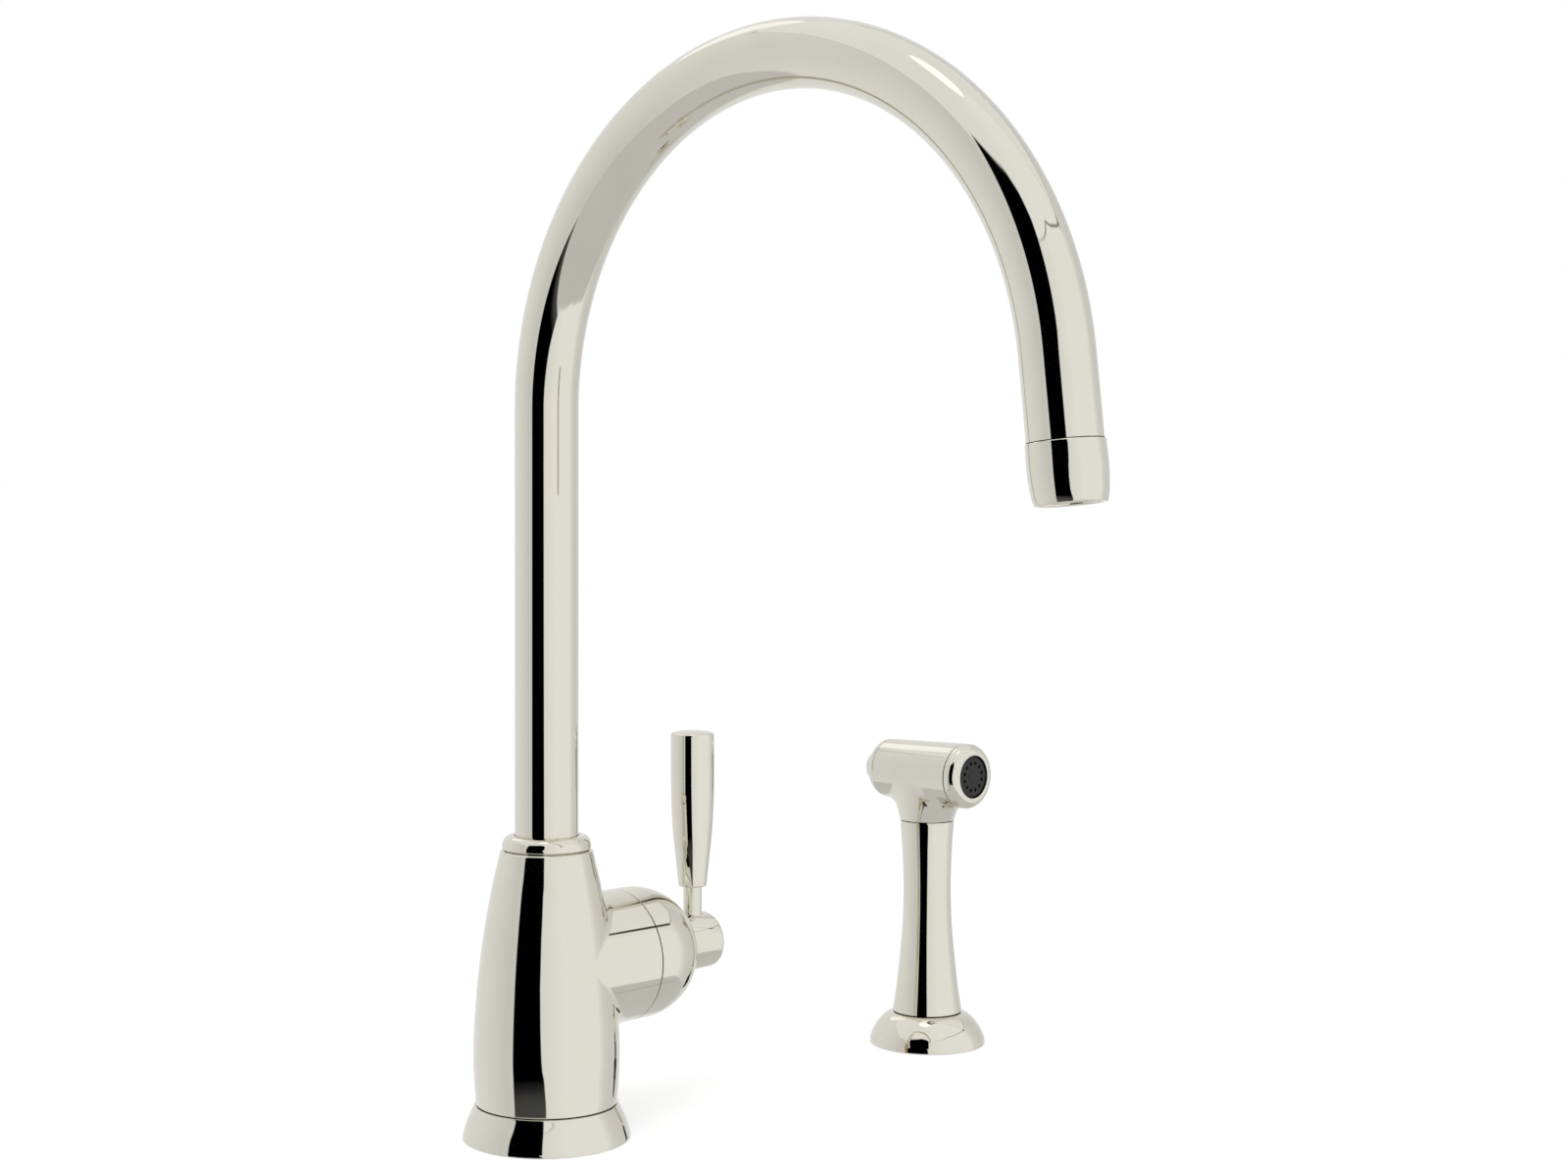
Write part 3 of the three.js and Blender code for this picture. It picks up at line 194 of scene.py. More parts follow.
# The screen fades a little towards its foot.
screen_right = add(tree, "FloatCurve", Value=math_node(tree, "MULTIPLY_ADD", height, 0.5, 0.5))
points = screen_right.mapping.curves[0].points
while len(points) < len(SCREEN_RIGHTS):
    points.new(0.5, 0.5)
for point, (sine, angle) in zip(points, SCREEN_RIGHTS):
    point.location = (sine * 0.5 + 0.5, (angle + 180) * DEGREE)
    point.handle_type = "VECTOR"
screen_right.mapping.update()
screen = product(edge(around, (SCREEN_LEFT + 179) * DEGREE, (SCREEN_LEFT + 181) * DEGREE),
                 edge(math_node(tree, "SUBTRACT", around, screen_right), DEGREE, -DEGREE),
                 edge(math_node(tree, "SUBTRACT", height, around_ramp(SCREEN_TOPS)), 0.02, -0.02),
                 edge(height, SCREEN_LOW, SCREEN_LOW + 0.035))
foot = product(edge(height, -0.3, -0.4), 0.07)
dark = add(tree, "CombineColor", Red=foot, Green=foot, Blue=foot)
mirrored = over(dark, screen, mirrored)
rays = add(tree, "LightPath").outputs
seen = over(1.0, rays["Is Camera Ray"], over(mirrored, rays["Is Glossy Ray"], ROOM))
background = add(tree, "Background", Color=seen)
add(tree, "OutputWorld", Surface=background)

key = bpy.data.lights.new("soft_key", "AREA")
key.shape = "DISK"
key.size = 1.2
key.energy = 9
key_lamp = bpy.data.objects.new("soft_key", key)
key_lamp.location = (-0.9, -0.5, 1.7)
aim = Vector((0.05, -0.05, 0.1)) - key_lamp.location
key_lamp.rotation_euler = aim.to_track_quat("-Z", "Y").to_euler()
key_lamp.visible_glossy = False
scene.collection.objects.link(key_lamp)

FLOOR_HALF = 30.0
floor_mesh = bpy.data.meshes.new("floor")
floor_mesh.from_pydata([(x * FLOOR_HALF, y * FLOOR_HALF, 0) for x, y in ((-1, -1), (1, -1), (1, 1), (-1, 1))],
                       [], [(0, 1, 2, 3)])
floor = bpy.data.objects.new("floor", floor_mesh)
scene.collection.objects.link(floor)
paint = bpy.data.materials.new("floor_paint")
paint.use_nodes = True
tree = paint.node_tree
tree.nodes.clear()
rays = add(tree, "LightPath")
matt = add(tree, "BsdfDiffuse", Color=(0.8, 0.8, 0.8, 1))
lift = add(tree, "Emission", Strength=math_node(tree, "MULTIPLY", rays.outputs["Is Camera Ray"], 0.36))
both = add(tree, "AddShader", _0=matt, _1=lift)
add(tree, "OutputMaterial", Surface=both)
floor.data.materials.append(paint)
floor.visible_glossy = False


# ---------------------------------------------------------------- base flange
# The ring that hides the hole in the deck: turned brass, polished and nickel plated. It lies on a
# rubber gasket and the body stands on it.
def spline(points, pieces=12):
    """A smooth curve through (radius, height) points, with as many pieces between each two."""
    points = [Vector(p) for p in points]
    ends = [points[0], *points, points[-1]]
    curve = []
    for a, b, c, d in zip(ends, ends[1:], ends[2:], ends[3:]):
        for step in range(pieces):
            t = step / pieces
            slope_b, slope_c = (c - a) / 2, (d - b) / 2
            curve.append((2 * b - 2 * c + slope_b + slope_c) * t ** 3
                         + (-3 * b + 3 * c - 2 * slope_b - slope_c) * t ** 2 + slope_b * t + b)
    return [tuple(p) for p in curve] + [tuple(points[-1])]


def swing(start, end, share, turn):
    """A vector on the arc from start to end, which are an angle apart."""
    return (start * math.sin((1 - share) * turn) + end * math.sin(share * turn)) / math.sin(turn)


def softened(corners, steps=4):
    """An outline in which each corner given with a third number is rounded to that radius."""
    outline = []
    for i, corner in enumerate(corners):
        point = Vector(corner[:2])
        if len(corner) == 2:
            outline.append(point)
            continue
        before = (Vector(corners[i - 1][:2]) - point).normalized()
        after = (Vector(corners[(i + 1) % len(corners)][:2]) - point).normalized()
        half = before.angle(after) / 2
        centre = point + (before + after).normalized() * corner[2] / math.sin(half)
        start = point + before * corner[2] / math.tan(half) - centre
        end = point + after * corner[2] / math.tan(half) - centre
        turn = math.pi - 2 * half
        for step in range(steps + 1):
            outline.append(centre + swing(start, end, step / steps, turn))
    return outline


SHARP_BEND = math.radians(40)      # keeps its edge


def outline_normals(outline, closed):
    """For each stretch of an outline the normals at its ends, shared with the next at a slight bend."""
    count = len(outline) if closed else len(outline) - 1
    stretches = [outline[(i + 1) % len(outline)] - outline[i] for i in range(count)]
    square = [Vector((s.y, -s.x)) for s in stretches]
    ends = []
    for i in range(count):
        pair = []
        for other in (i - 1, i + 1):
            if closed or 0 <= other < count:
                near = square[other % count]
                if near.length and square[i].length and near.angle(square[i]) < SHARP_BEND:
                    pair.append((square[i] + near).normalized())
                    continue
            pair.append(square[i].normalized())
        ends.append(pair)
    return ends


def make_piece(name, points, faces, corner_normals, material, place=Matrix()):
    """A mesh object from millimetre points, with a given normal at each corner of each face."""
    turned_faces, normals = [], []
    for face, around in zip(faces, corner_normals):
        flat = (points[face[1]] - points[face[0]]).cross(points[face[2]] - points[face[0]])
        if len(face) > 3:
            flat += (points[face[2]] - points[face[0]]).cross(points[face[3]] - points[face[0]])
        mean = sum(around, Vector())
        if flat.dot(mean) < 0:
            face, around = face[::-1], around[::-1]
        turned_faces.append(face)
        normals.extend(around)
    mesh = bpy.data.meshes.new(name)
    turn = place.to_3x3()
    mesh.from_pydata([place @ p * MM for p in points], [], turned_faces)
    mesh.shade_smooth()
    mesh.normals_split_custom_set([turn @ n for n in normals])
    mesh.materials.append(material)
    piece = bpy.data.objects.new(name, mesh)
    scene.collection.objects.link(piece)
    return piece


def lathe(outline, closed, sides, window=(0, -1), reach=0):
    """Points, their numbers by row and column, faces and normals of an outline turned about Z.

    The rows inside the window stay open, over as many columns to each side of +X as reach says.
    """
    points, grid, faces, normals = [], {}, [], []
    for i, corner in enumerate(outline):
        for j in range(sides):
            if window[0] < i < window[1] and not reach <= j <= sides - reach:
                continue
            if j and corner.x <= 0:
                grid[i, j] = grid[i, 0]
                continue
            angle = math.tau * j / sides
            grid[i, j] = len(points)
            points.append(Vector((corner.x * math.cos(angle), corner.x * math.sin(angle), corner.y)))
    for i, (low, high) in enumerate(outline_normals(outline, closed)):
        k = (i + 1) % len(outline)
        for j in range(sides):
            if window[0] <= i < window[1] and not reach <= j < sides - reach:
                continue
            after = (j + 1) % sides
            here, there = math.tau * j / sides, math.tau * (j + 1) / sides
            face, around = [], []
            for key, flat, angle in (((i, j), low, here), ((i, after), low, there),
                                     ((k, after), high, there), ((k, j), high, here)):
                if grid[key] not in face:
                    face.append(grid[key])
                    around.append(Vector((flat.x * math.cos(angle), flat.x * math.sin(angle), flat.y)))
            if len(face) > 2:
                faces.append(face)
                normals.append(around)
    return points, grid, faces, normals


def turned(name, corners, material, place=Matrix(), sides=128):
    """A closed outline of (radius, height) turned about Z, as on a lathe."""
    outline = softened(corners)
    if sum(a.x * b.y - b.x * a.y for a, b in zip(outline, outline[1:] + outline[:1])) < 0:
        outline.reverse()
    points, _, faces, normals = lathe(outline, outline[0].x > 0 or outline[-1].x > 0, sides)
    return make_piece(name, points, faces, normals, material, place)


def effect_group(name, inputs):
    """A shader group with named numbers in; a roughness, a mask and a height come out."""
    group = bpy.data.node_groups.new(name, "ShaderNodeTree")
    sockets = [(label, "INPUT") for label in inputs]
    for label, side in sockets + [(label, "OUTPUT") for label in ("Roughness", "Mask", "Height")]:
        socket = group.interface.new_socket(label, in_out=side, socket_type="NodeSocketFloat")
        socket.default_value = inputs.get(label, 0.0)
    return group, group.nodes.new("NodeGroupInput").outputs, group.nodes.new("NodeGroupOutput")


# Handling marks: a faint cloudiness and fine wiping lines, as on any polished fitting.
marks, given, result = effect_group("handling_marks", {"Low": 0.03, "High": 0.07, "Grain": 60.0})
where = add(marks, "TexCoord").outputs["Object"]
cloud = add(marks, "TexNoise", Vector=where, Scale=given["Grain"], Detail=4.0, Roughness=0.55)
lines = add(marks, "TexNoise", Scale=1.0, Detail=2.0, Vector=add(
    marks, "Mapping", Vector=where, Scale=(900.0, 900.0, 60.0)))
wave = add(marks, "TexNoise", Vector=where, Scale=22.0, Detail=1.0)
mask = add(marks, "MapRange", Value=cloud, From_Min=0.42, From_Max=0.72)
wiped = math_node(marks, "MULTIPLY", lines, 0.25)
worn = math_node(marks, "ADD", mask, wiped, clamp=True)
rough = add(marks, "MapRange", Value=worn, To_Min=given["Low"], To_Max=given["High"])
connect(result, Roughness=rough, Mask=worn, Height=wave)


def finish(effect, metallic, distance, name, colour, other, low, high, strength, grain):
    """A material with an effect group: two colours mixed by its mask, its roughness and its bumps."""
    material = bpy.data.materials.new(name)
    material.use_nodes = True
    tree = material.node_tree
    look = add(tree, "Group", {"node_tree": effect}, Low=low, High=high, Grain=grain).outputs
    tone = add(tree, "Mix", {"data_type": "RGBA"}, _0=look["Mask"], _6=(*colour, 1), _7=(*other, 1))
    bump = add(tree, "Bump", Strength=strength, Distance=distance, Height=look["Height"])
    connect(tree.nodes["Principled BSDF"], Metallic=metallic, Base_Color=tone.outputs[2],
            Roughness=look["Roughness"], Normal=bump)
    return material


def metal(name, colour, tarnish, low, high, ripple, grain=60.0):
    """A polished metal: its colour, its colour where it's cloudy, and its least and most roughness."""
    return finish(marks, 1.0, 0.0006, name, colour, tarnish, low, high, ripple, grain)


nickel = metal("polished_nickel", (0.737, 0.721, 0.640), (0.722, 0.704, 0.618), 0.022, 0.045, 0.05)


def fit(piece, body, node):
    """The piece stands for a node of the model and moves with that body."""
    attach(piece, body)
    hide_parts(node)
    return piece


def lathed(name, body, node, material, corners, place=Matrix(), sides=128):
    """A turned piece in a node's stead."""
    return fit(turned(name, corners, material, place, sides), body, node)


FLANGE_R = 29.1
FLANGE_TOP_R = 25.0
FLANGE_TOP = 11.8
SHANK_CLEAR_R = 16.3
GASKET_INNER = 19.0
GASKET_OUTER = 26.8
GASKET_DEPTH = 2.8
lathed("polished_base_flange", "faucet_base", "base_flange", nickel, [
    (SHANK_CLEAR_R, 0), (GASKET_INNER, 0), (GASKET_INNER, GASKET_DEPTH), (GASKET_OUTER, GASKET_DEPTH),
    (GASKET_OUTER, 0), (FLANGE_R, 0, 0.3),
    *spline([(FLANGE_R, 1), (27.5, 6.2), (FLANGE_TOP_R, FLANGE_TOP - 0.3)]),
    (FLANGE_TOP_R, FLANGE_TOP, 0.25), (SHANK_CLEAR_R, FLANGE_TOP)])


# ---------------------------------------------------------------- gaskets and seals of rubber
# Black moulded rubber: the gaskets under the two flanges and the cartridge's port seals keep the
# model's mesh. The washers and rings that need a rounder form are made with the pieces they seal.
grain, given, result = effect_group("moulded_grain", {"Grain": 900.0, "Low": 0.7, "High": 0.9})
where = add(grain, "TexCoord").outputs["Object"]
speck = add(grain, "TexNoise", Vector=where, Scale=given["Grain"], Detail=3.0)
bloom = add(grain, "TexNoise", Vector=where, Scale=70.0, Detail=3.0)
rough = add(grain, "MapRange", Value=bloom, From_Min=0.3, From_Max=0.7,
            To_Min=given["Low"], To_Max=given["High"])
connect(result, Roughness=rough, Mask=bloom, Height=speck)


def moulded(name, colour, bloomed, low, high, depth, grain_scale=900.0):
    """A moulded material: its colour, where it has bloomed, and its least and most roughness."""
    return finish(grain, 0.0, 0.0002, name, colour, bloomed, low, high, depth, grain_scale)


def paint_nodes(material, *names):
    """The material on model nodes that keep their own mesh."""
    for name in names:
        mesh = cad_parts[name].data
        mesh.materials.clear()
        mesh.materials.append(material)


rubber = moulded("black_rubber", (0.012, 0.012, 0.013), (0.028, 0.028, 0.029), 0.6, 0.85, 0.35)
paint_nodes(rubber, "deck_gasket", "spray_gasket", "hot_port_seal", "cold_port_seal", "mixed_port_seal")

# ---------------------------------------------------------------- faucet body
# One brass casting, turned, ground and nickel plated: a tapering body, open at the top for the spout,
# with a round boss for the cartridge on its side that flows into it over a fillet.
SIDES = 144
HALF_TURN = SIDES // 4             # the window round the branch reaches this many columns each way
SKIN_STEPS = 12                    # pieces of each line from the window's edge to the fillet's edge,
FILLET_STEPS = 14                  # over the fillet,
RUN_STEPS = 8                      # and along the branch
PINCH_POWER = 1.3                  # over 1 draws the branch in late, towards its end


def branched(name, below, skin, above, branch, material, place=Matrix()):
    """A turned form with a round branch on its side, along +X, and a fillet between them.

    below and above are the outline's corners before and after the stretch that carries the branch; skin
    gives that stretch's radius at a height; branch holds the branch's sizes and the corners of its end.
    A ball rolls in the fillet, of the first size in "fillet" at the low side and the second at the high
    one. A "spread" under 1 makes it larger between them and "oval" keeps it off the branch there; "foot"
    is the branch's radius at its end, where it's drawn in.
    """
    low, high, rows = branch["low"], branch["high"], branch["rows"]
    centre_z, branch_r, straight = branch["z"], branch["r"], branch["straight"]

    def slope(z):
        return (skin(z + 0.05) - skin(z - 0.05)) / 0.1

    def skin_point(angle, z):
        r, rise = skin(z), slope(z)
        normal = Vector((math.cos(angle), math.sin(angle), -rise)).normalized()
        return Vector((r * math.cos(angle), r * math.sin(angle), z)), normal

    heights = [low + (high - low) * i / rows for i in range(rows + 1)]
    lower = softened(below)
    outline = lower + [Vector((skin(z), z)) for z in heights] + softened(above)
    first = len(lower)
    points, grid, faces, normals = lathe(outline, False, SIDES, (first, first + rows), HALF_TURN)

    def put(point):
        points.append(point)
        return len(points) - 1

    # Round the window's edge, and for each of its points a line to the fillet's edge on the skin.
    rim = [(first + rows, j) for j in range(-HALF_TURN, HALF_TURN)]
    rim += [(i, HALF_TURN) for i in range(first + rows, first, -1)]
    rim += [(first, j) for j in range(HALF_TURN, -HALF_TURN, -1)]
    rim += [(i, -HALF_TURN) for i in range(first, first + rows)]
    lines = []
    for i, j in rim:
        angle, z = math.tau * j / SIDES, outline[i].y
        phi = math.atan2(skin(centre_z) * angle, z - centre_z)
        lengthwise = math.cos(phi) ** 2
        fillet_low, fillet_high = branch["fillet"]
        ball = fillet_low + (fillet_high - fillet_low) * (1 + math.cos(phi)) / 2
        ball /= math.sqrt(lengthwise + branch.get("spread", 1) * (1 - lengthwise))
        reach = branch_r + branch.get("oval", 0) * lengthwise + ball
        ball_y, ball_z = reach * math.sin(phi), centre_z + reach * math.cos(phi)
        touch_z = ball_z
        for _ in range(6):
            tilt = Vector((1, -slope(touch_z))).normalized()
            touch_z = ball_z - ball * tilt.y
        ball_r = skin(touch_z) + ball * tilt.x
        ball_x = math.sqrt(ball_r ** 2 - ball_y ** 2)
        ball_at = Vector((ball_x, ball_y, ball_z))
        touch_angle = math.atan2(ball_y, ball_x)
        line = []
        for step in range(1, SKIN_STEPS + 1):
            t = step / SKIN_STEPS
            line.append(skin_point(angle + (touch_angle - angle) * t, z + (touch_z - z) * t))
        touch = line[-1][0] - ball_at
        touch_x = line[-1][0].x
        outwards = Vector((0, math.sin(phi), math.cos(phi)))
        grip = -outwards * ball
        bend = touch.angle(grip)
        last = 1.0
        while swing(touch, grip, last, bend).x > straight - ball_x:
            last -= 0.01
        for step in range(1, FILLET_STEPS + 1):
            arm = swing(touch, grip, last * step / FILLET_STEPS, bend)
            line.append((ball_at + arm, -arm.normalized()))
        foot, foot_normal = line[-1]
        for step in range(1, RUN_STEPS + 1):
            x = foot.x + (straight - foot.x) * step / RUN_STEPS
            line.append((Vector((x, foot.y, foot.z)), foot_normal))
        if "foot" in branch:
            pinch = 1 - branch["foot"] / math.hypot(foot.y, foot.z - centre_z)
            for k in range(SKIN_STEPS, len(line)):
                point, normal = line[k]
                share = max(0.0, (point.x - touch_x) / (straight - touch_x)) ** PINCH_POWER
                scale = 1 - pinch * share
                point = Vector((point.x, point.y * scale, centre_z + (point.z - centre_z) * scale))
                line[k] = (point, normal)
        lines.append(([grid[i, j % SIDES]] + [put(p) for p, _ in line],
                      [skin_point(angle, z)[1]] + [n for _, n in line], outwards))
    if "foot" in branch:           # fresh normals where the lines were drawn in
        for before, line, after in zip(lines[-1:] + lines[:-1], lines, lines[1:] + lines[:1]):
            for k in range(SKIN_STEPS + 1, len(line[0])):
                across = points[after[0][k]] - points[before[0][k]]
                along = points[line[0][min(k + 1, len(line[0]) - 1)]] - points[line[0][k - 1]]
                flat = across.cross(along).normalized()
                line[1][k] = flat if flat.dot(line[1][k]) > 0 else -flat
    end = softened(branch["end"])
    end_normals = outline_normals([Vector((branch.get("foot", branch_r), straight))] + end, False)
    tip = put(Vector((end[-1].y, 0, centre_z)))
    for line, _, outwards in lines:
        line.extend(tip if r.x <= 0 else put(Vector((r.y, 0, centre_z)) + outwards * r.x) for r in end)
    smooth_count = len(lines[0][1])
    for a, b in zip(lines, lines[1:] + lines[:1]):
        for step in range(len(a[0]) - 1):
            face, around = [], []
            for line, k in ((a, step), (b, step), (b, step + 1), (a, step + 1)):
                if line[0][k] in face:
                    continue
                face.append(line[0][k])
                if step + 1 < smooth_count:
                    around.append(line[1][k])
                else:
                    flat = end_normals[step + 1 - smooth_count][k - step]
                    around.append(line[2] * flat.x + Vector((flat.y, 0, 0)))
            if len(face) > 2:
                faces.append(face)
                normals.append(around)
    return make_piece(name, points, faces, normals, material, place)


def curve_radius(points):
    """The radius of a smooth outline at a height."""
    curve = spline(points, 40)

    def radius(z):
        for (r0, z0), (r1, z1) in zip(curve, curve[1:]):
            if z <= z1:
                break
        return r0 + (r1 - r0) * (z - z0) / (z1 - z0)
    return radius


BODY_FOOT = 12.1
BODY_FOOT_R = 24.5
BODY_TOP = 99.4
BODY_TOP_R = 16.05
HUB_Z = 58.2
BOSS_R = 23.3
BOSS_END = 33.35
MOUTH_R = 14.6                     # takes the bush and the collar's skirt
MOUTH_FLOOR = 85.7
SLEEVE_WALL_R = 12.8               # round the spout's sleeve
WAY_R = 8.5                        # the waterway under it
WAY_FLOOR = 49.2
POCKET_R = 20.5                    # takes the cartridge and its nut
POCKET_FLOOR = 27.0
body_radius = curve_radius([
    (BODY_FOOT_R, BODY_FOOT), (25.2, 22), (25.4, 31), (24.7, 45), (23.3, 60), (21.3, 74), (18.9, 87.2),
    (17.5, 93), (16.52, 97.3), (BODY_TOP_R, BODY_TOP)])
faucet_body = branched(
    "polished_faucet_body",
    [(0, BODY_FOOT + 12), (SHANK_CLEAR_R, BODY_FOOT + 12), (SHANK_CLEAR_R, BODY_FOOT),
     (BODY_FOOT_R, BODY_FOOT, 0.25),
     *[(body_radius(BODY_FOOT + 0.6 + i), BODY_FOOT + 0.6 + i) for i in range(8)]],
    body_radius,
    [*[(body_radius(94.5 + i * 0.5), 94.5 + i * 0.5) for i in range(7)], (BODY_TOP_R, BODY_TOP, 1.0),
     (MOUTH_R, BODY_TOP), (MOUTH_R, MOUTH_FLOOR), (SLEEVE_WALL_R, MOUTH_FLOOR), (SLEEVE_WALL_R, 64),
     (WAY_R, 64), (WAY_R, WAY_FLOOR), (0, WAY_FLOOR)],
    {"low": 21.0, "high": 94.0, "rows": 52, "z": HUB_Z, "r": BOSS_R, "fillet": (5.0, 5.0),
     "straight": BOSS_END,
     "end": [(BOSS_R - 0.2, BOSS_END + 0.15), (POCKET_R, BOSS_END + 0.15), (POCKET_R, POCKET_FLOOR),
             (18, POCKET_FLOOR), (18, 15), (0, 15)]},
    nickel)
fit(faucet_body, "faucet_base", "faucet_body")


# ---------------------------------------------------------------- shank, washers, nut and nipples
# Under the deck: a threaded brass shank screwed into the body, a rubber and a steel washer and a brass
# nut that draw the faucet down. Three brass nipples hang through the shank for the hoses.
def modelling_group(name, inputs):
    """A Geometry Nodes group with named inputs, its material last; a number is a length or a count."""
    kinds = {int: "Int", float: "Float", tuple: "Vector"}
    group = bpy.data.node_groups.new(name, "GeometryNodeTree")
    for label, value in {"Geometry": "Geometry", **inputs, "Material": "Material"}.items():
        kind = "NodeSocket" + (value if isinstance(value, str) else kinds[type(value)])
        socket = group.interface.new_socket(label, in_out="INPUT", socket_type=kind)
        if not isinstance(value, str):
            socket.default_value = value
    group.interface.new_socket("Geometry", in_out="OUTPUT", socket_type="NodeSocketGeometry")
    return group, group.nodes.new("NodeGroupInput").outputs


def hand_over(group, given, geometry):
    """Smooth faces with sharp edges over 35 degrees, instances made real and the material set."""
    real = add(group, "RealizeInstances", Geometry=geometry)
    angle = add(group, "InputMeshEdgeAngle")
    sharp = add(group, "FunctionNodeCompare", {"data_type": "FLOAT", "operation": "GREATER_THAN"},
                _0=angle, _1=math.radians(35))
    soft = add(group, "SetShadeSmooth", {"domain": "FACE"}, Geometry=real)
    edged = add(group, "SetShadeSmooth", {"domain": "EDGE"}, Geometry=soft, Selection=sharp,
                Shade_Smooth=False)
    done = add(group, "SetMaterial", Geometry=edged, Material=given["Material"])
    connect(group.nodes.new("NodeGroupOutput"), Geometry=done)


def grown(piece, group, material, values):
    """The piece's mesh after a Geometry Nodes group has worked on it."""
    values["Material"] = material
    modifier = piece.modifiers.new(group.name, "NODES")
    modifier.node_group = group
    for item in group.interface.items_tree:
        if item.item_type == "SOCKET" and item.in_out == "INPUT" and item.name in values:
            modifier[item.identifier] = values[item.name]
    bpy.context.view_layer.update()
    seen = piece.evaluated_get(bpy.context.evaluated_depsgraph_get())
    plain = bpy.data.meshes.new_from_object(seen)
    piece.modifiers.clear()
    piece.data = plain
    return piece


def winding_group(name, steps, corners, upright, rotation):
    """A group that winds a ridge or a wire about Z, beside what is there; corners are its section's."""
    group, given = modelling_group(name, {
        "Radius": 0.015, "Section": 0.0009, "Turns": 10.0, "Height": 0.02, "Start": (0.0, 0.0, 0.0)})
    line = add(group, "CurveSpiral", Resolution=steps, Rotations=given["Turns"],
               Start_Radius=given["Radius"], End_Radius=given["Radius"], Height=given["Height"])
    if upright:
        line = add(group, "SetCurveNormal", {"mode": "Z_UP"}, Curve=line)
    section = add(group, "CurvePrimitiveCircle", Resolution=corners, Radius=given["Section"])
    wound = add(group, "CurveToMesh", Curve=line, Profile_Curve=section, Fill_Caps=True)
    wound = add(group, "Transform", Geometry=wound, Translation=given["Start"], Rotation=rotation)
    both = add(group, "JoinGeometry", Geometry=given["Geometry"])
    connect(both, Geometry=wound)
    hand_over(group, given, both)
    return group


# A thread: a V-shaped ridge that winds round the core.
thread_group = winding_group("screw_thread", 48, 4, True, (0.0, 0.0, 0.0))

# Six flats on a turned blank, whose chamfers become the curved corners of a nut.
nut_group, given = modelling_group("six_flats", {
    "Corner Radius": 0.02, "Low": 0.0, "High": 0.01, "Axis": (0.0, 0.0, 0.0)})
tall = math_node(nut_group, "SUBTRACT", given["High"], given["Low"])
middle = math_node(nut_group, "MULTIPLY", math_node(nut_group, "ADD", given["High"], given["Low"]), 0.5)
prism = add(nut_group, "MeshCylinder", Vertices=6, Radius=given["Corner Radius"], Depth=tall)
place = add(nut_group, "ShaderNodeCombineXYZ", Z=middle)
place = add(nut_group, "ShaderNodeVectorMath", {"operation": "ADD"}, _0=place, _1=given["Axis"])
prism = add(nut_group, "Transform", Geometry=prism, Translation=place)
flats = add(nut_group, "MeshBoolean", {"operation": "INTERSECT", "solver": "EXACT"})
bare = add(nut_group, "RemoveAttribute", Geometry=given["Geometry"], Name="custom_normal")
connect(flats, Mesh_2=bare)
connect(flats, Mesh_2=prism)
hand_over(nut_group, given, flats)

brass = metal("machined_brass", (0.62, 0.44, 0.19), (0.52, 0.34, 0.13), 0.16, 0.34, 0.12, 90.0)
steel = metal("stainless_steel", (0.56, 0.57, 0.58), (0.48, 0.48, 0.49), 0.2, 0.36, 0.1, 120.0)
DECK = 20.0
SHANK_BORE = 12.6
SHANK_R = 16.0
SHANK_LOW = -58.0
SHANK_TOP = 23.8
SHANK_TURNS = 28
THREAD_PITCH = 2.0
THREAD_RIDGE = 0.9
THREAD_START = 1.2                 # above the piece's lower end


def threaded(piece, core_r, turns, x, low, material):
    """A thread of so many turns round a piece's core."""
    grown(piece, thread_group, material, {
        "Radius": core_r * MM, "Section": THREAD_RIDGE * MM, "Turns": float(turns),
        "Height": turns * THREAD_PITCH * MM, "Start": (x * MM, 0, (low + THREAD_START) * MM)})


core_r = SHANK_R - THREAD_RIDGE - 0.05
shank = turned("threaded_brass_shank", [
    (SHANK_BORE, SHANK_LOW), (core_r, SHANK_LOW, 0.4), (core_r, 0.0), (SHANK_R, 1.0),
    (SHANK_R, SHANK_TOP, 0.4), (SHANK_BORE, SHANK_TOP)], brass)
threaded(shank, core_r, SHANK_TURNS, 0, SHANK_LOW, brass)
fit(shank, "faucet_base", "mounting_shank")


def washer(inner, outer, low, high, *rounding):
    """The outline of a plain ring, with its outer edges rounded where a radius is given."""
    return [(inner, low), (outer, low, *rounding), (outer, high, *rounding), (inner, high)]


WASHER_R = 27.0
rubber_washer = lathed("rubber_deck_washer", "faucet_base", "shank_rubber_washer", rubber,
                       washer(SHANK_CLEAR_R, WASHER_R, -DECK - 3, -DECK, 0.5))
steel_washer = lathed("steel_deck_washer", "faucet_base", "shank_steel_washer", steel,
                      washer(SHANK_CLEAR_R, WASHER_R, -25.3, -23.3, 0.4))


def hex_nut(name, flats, bore, low, high, material, place=Matrix(), bore_edge=0.8):
    """A chamfered six-sided nut with a round bore."""
    corner = flats / math.sqrt(3)
    drop = 0.35 * (corner - flats / 2)
    blank = turned(name, [(bore + bore_edge, low), (flats / 2, low), (corner + 0.3, low + drop + 0.2),
                          (corner + 0.3, high - drop - 0.2), (flats / 2, high), (bore + bore_edge, high),
                          (bore, high - bore_edge), (bore, low + bore_edge)], material, place, sides=96)
    return grown(blank, nut_group, material, {
        "Corner Radius": corner * MM, "Low": (low - 0.01) * MM, "High": (high + 0.01) * MM,
        "Axis": tuple(place.translation * MM)})


shank_nut = hex_nut("brass_deck_nut", 41.0, SHANK_CLEAR_R, -36.6, -25.6, brass)
fit(shank_nut, "faucet_base", "shank_nut")
for piece in (shank, rubber_washer, steel_washer, shank_nut):
    piece.visible_glossy = False   # the deck keeps it from being mirrored above

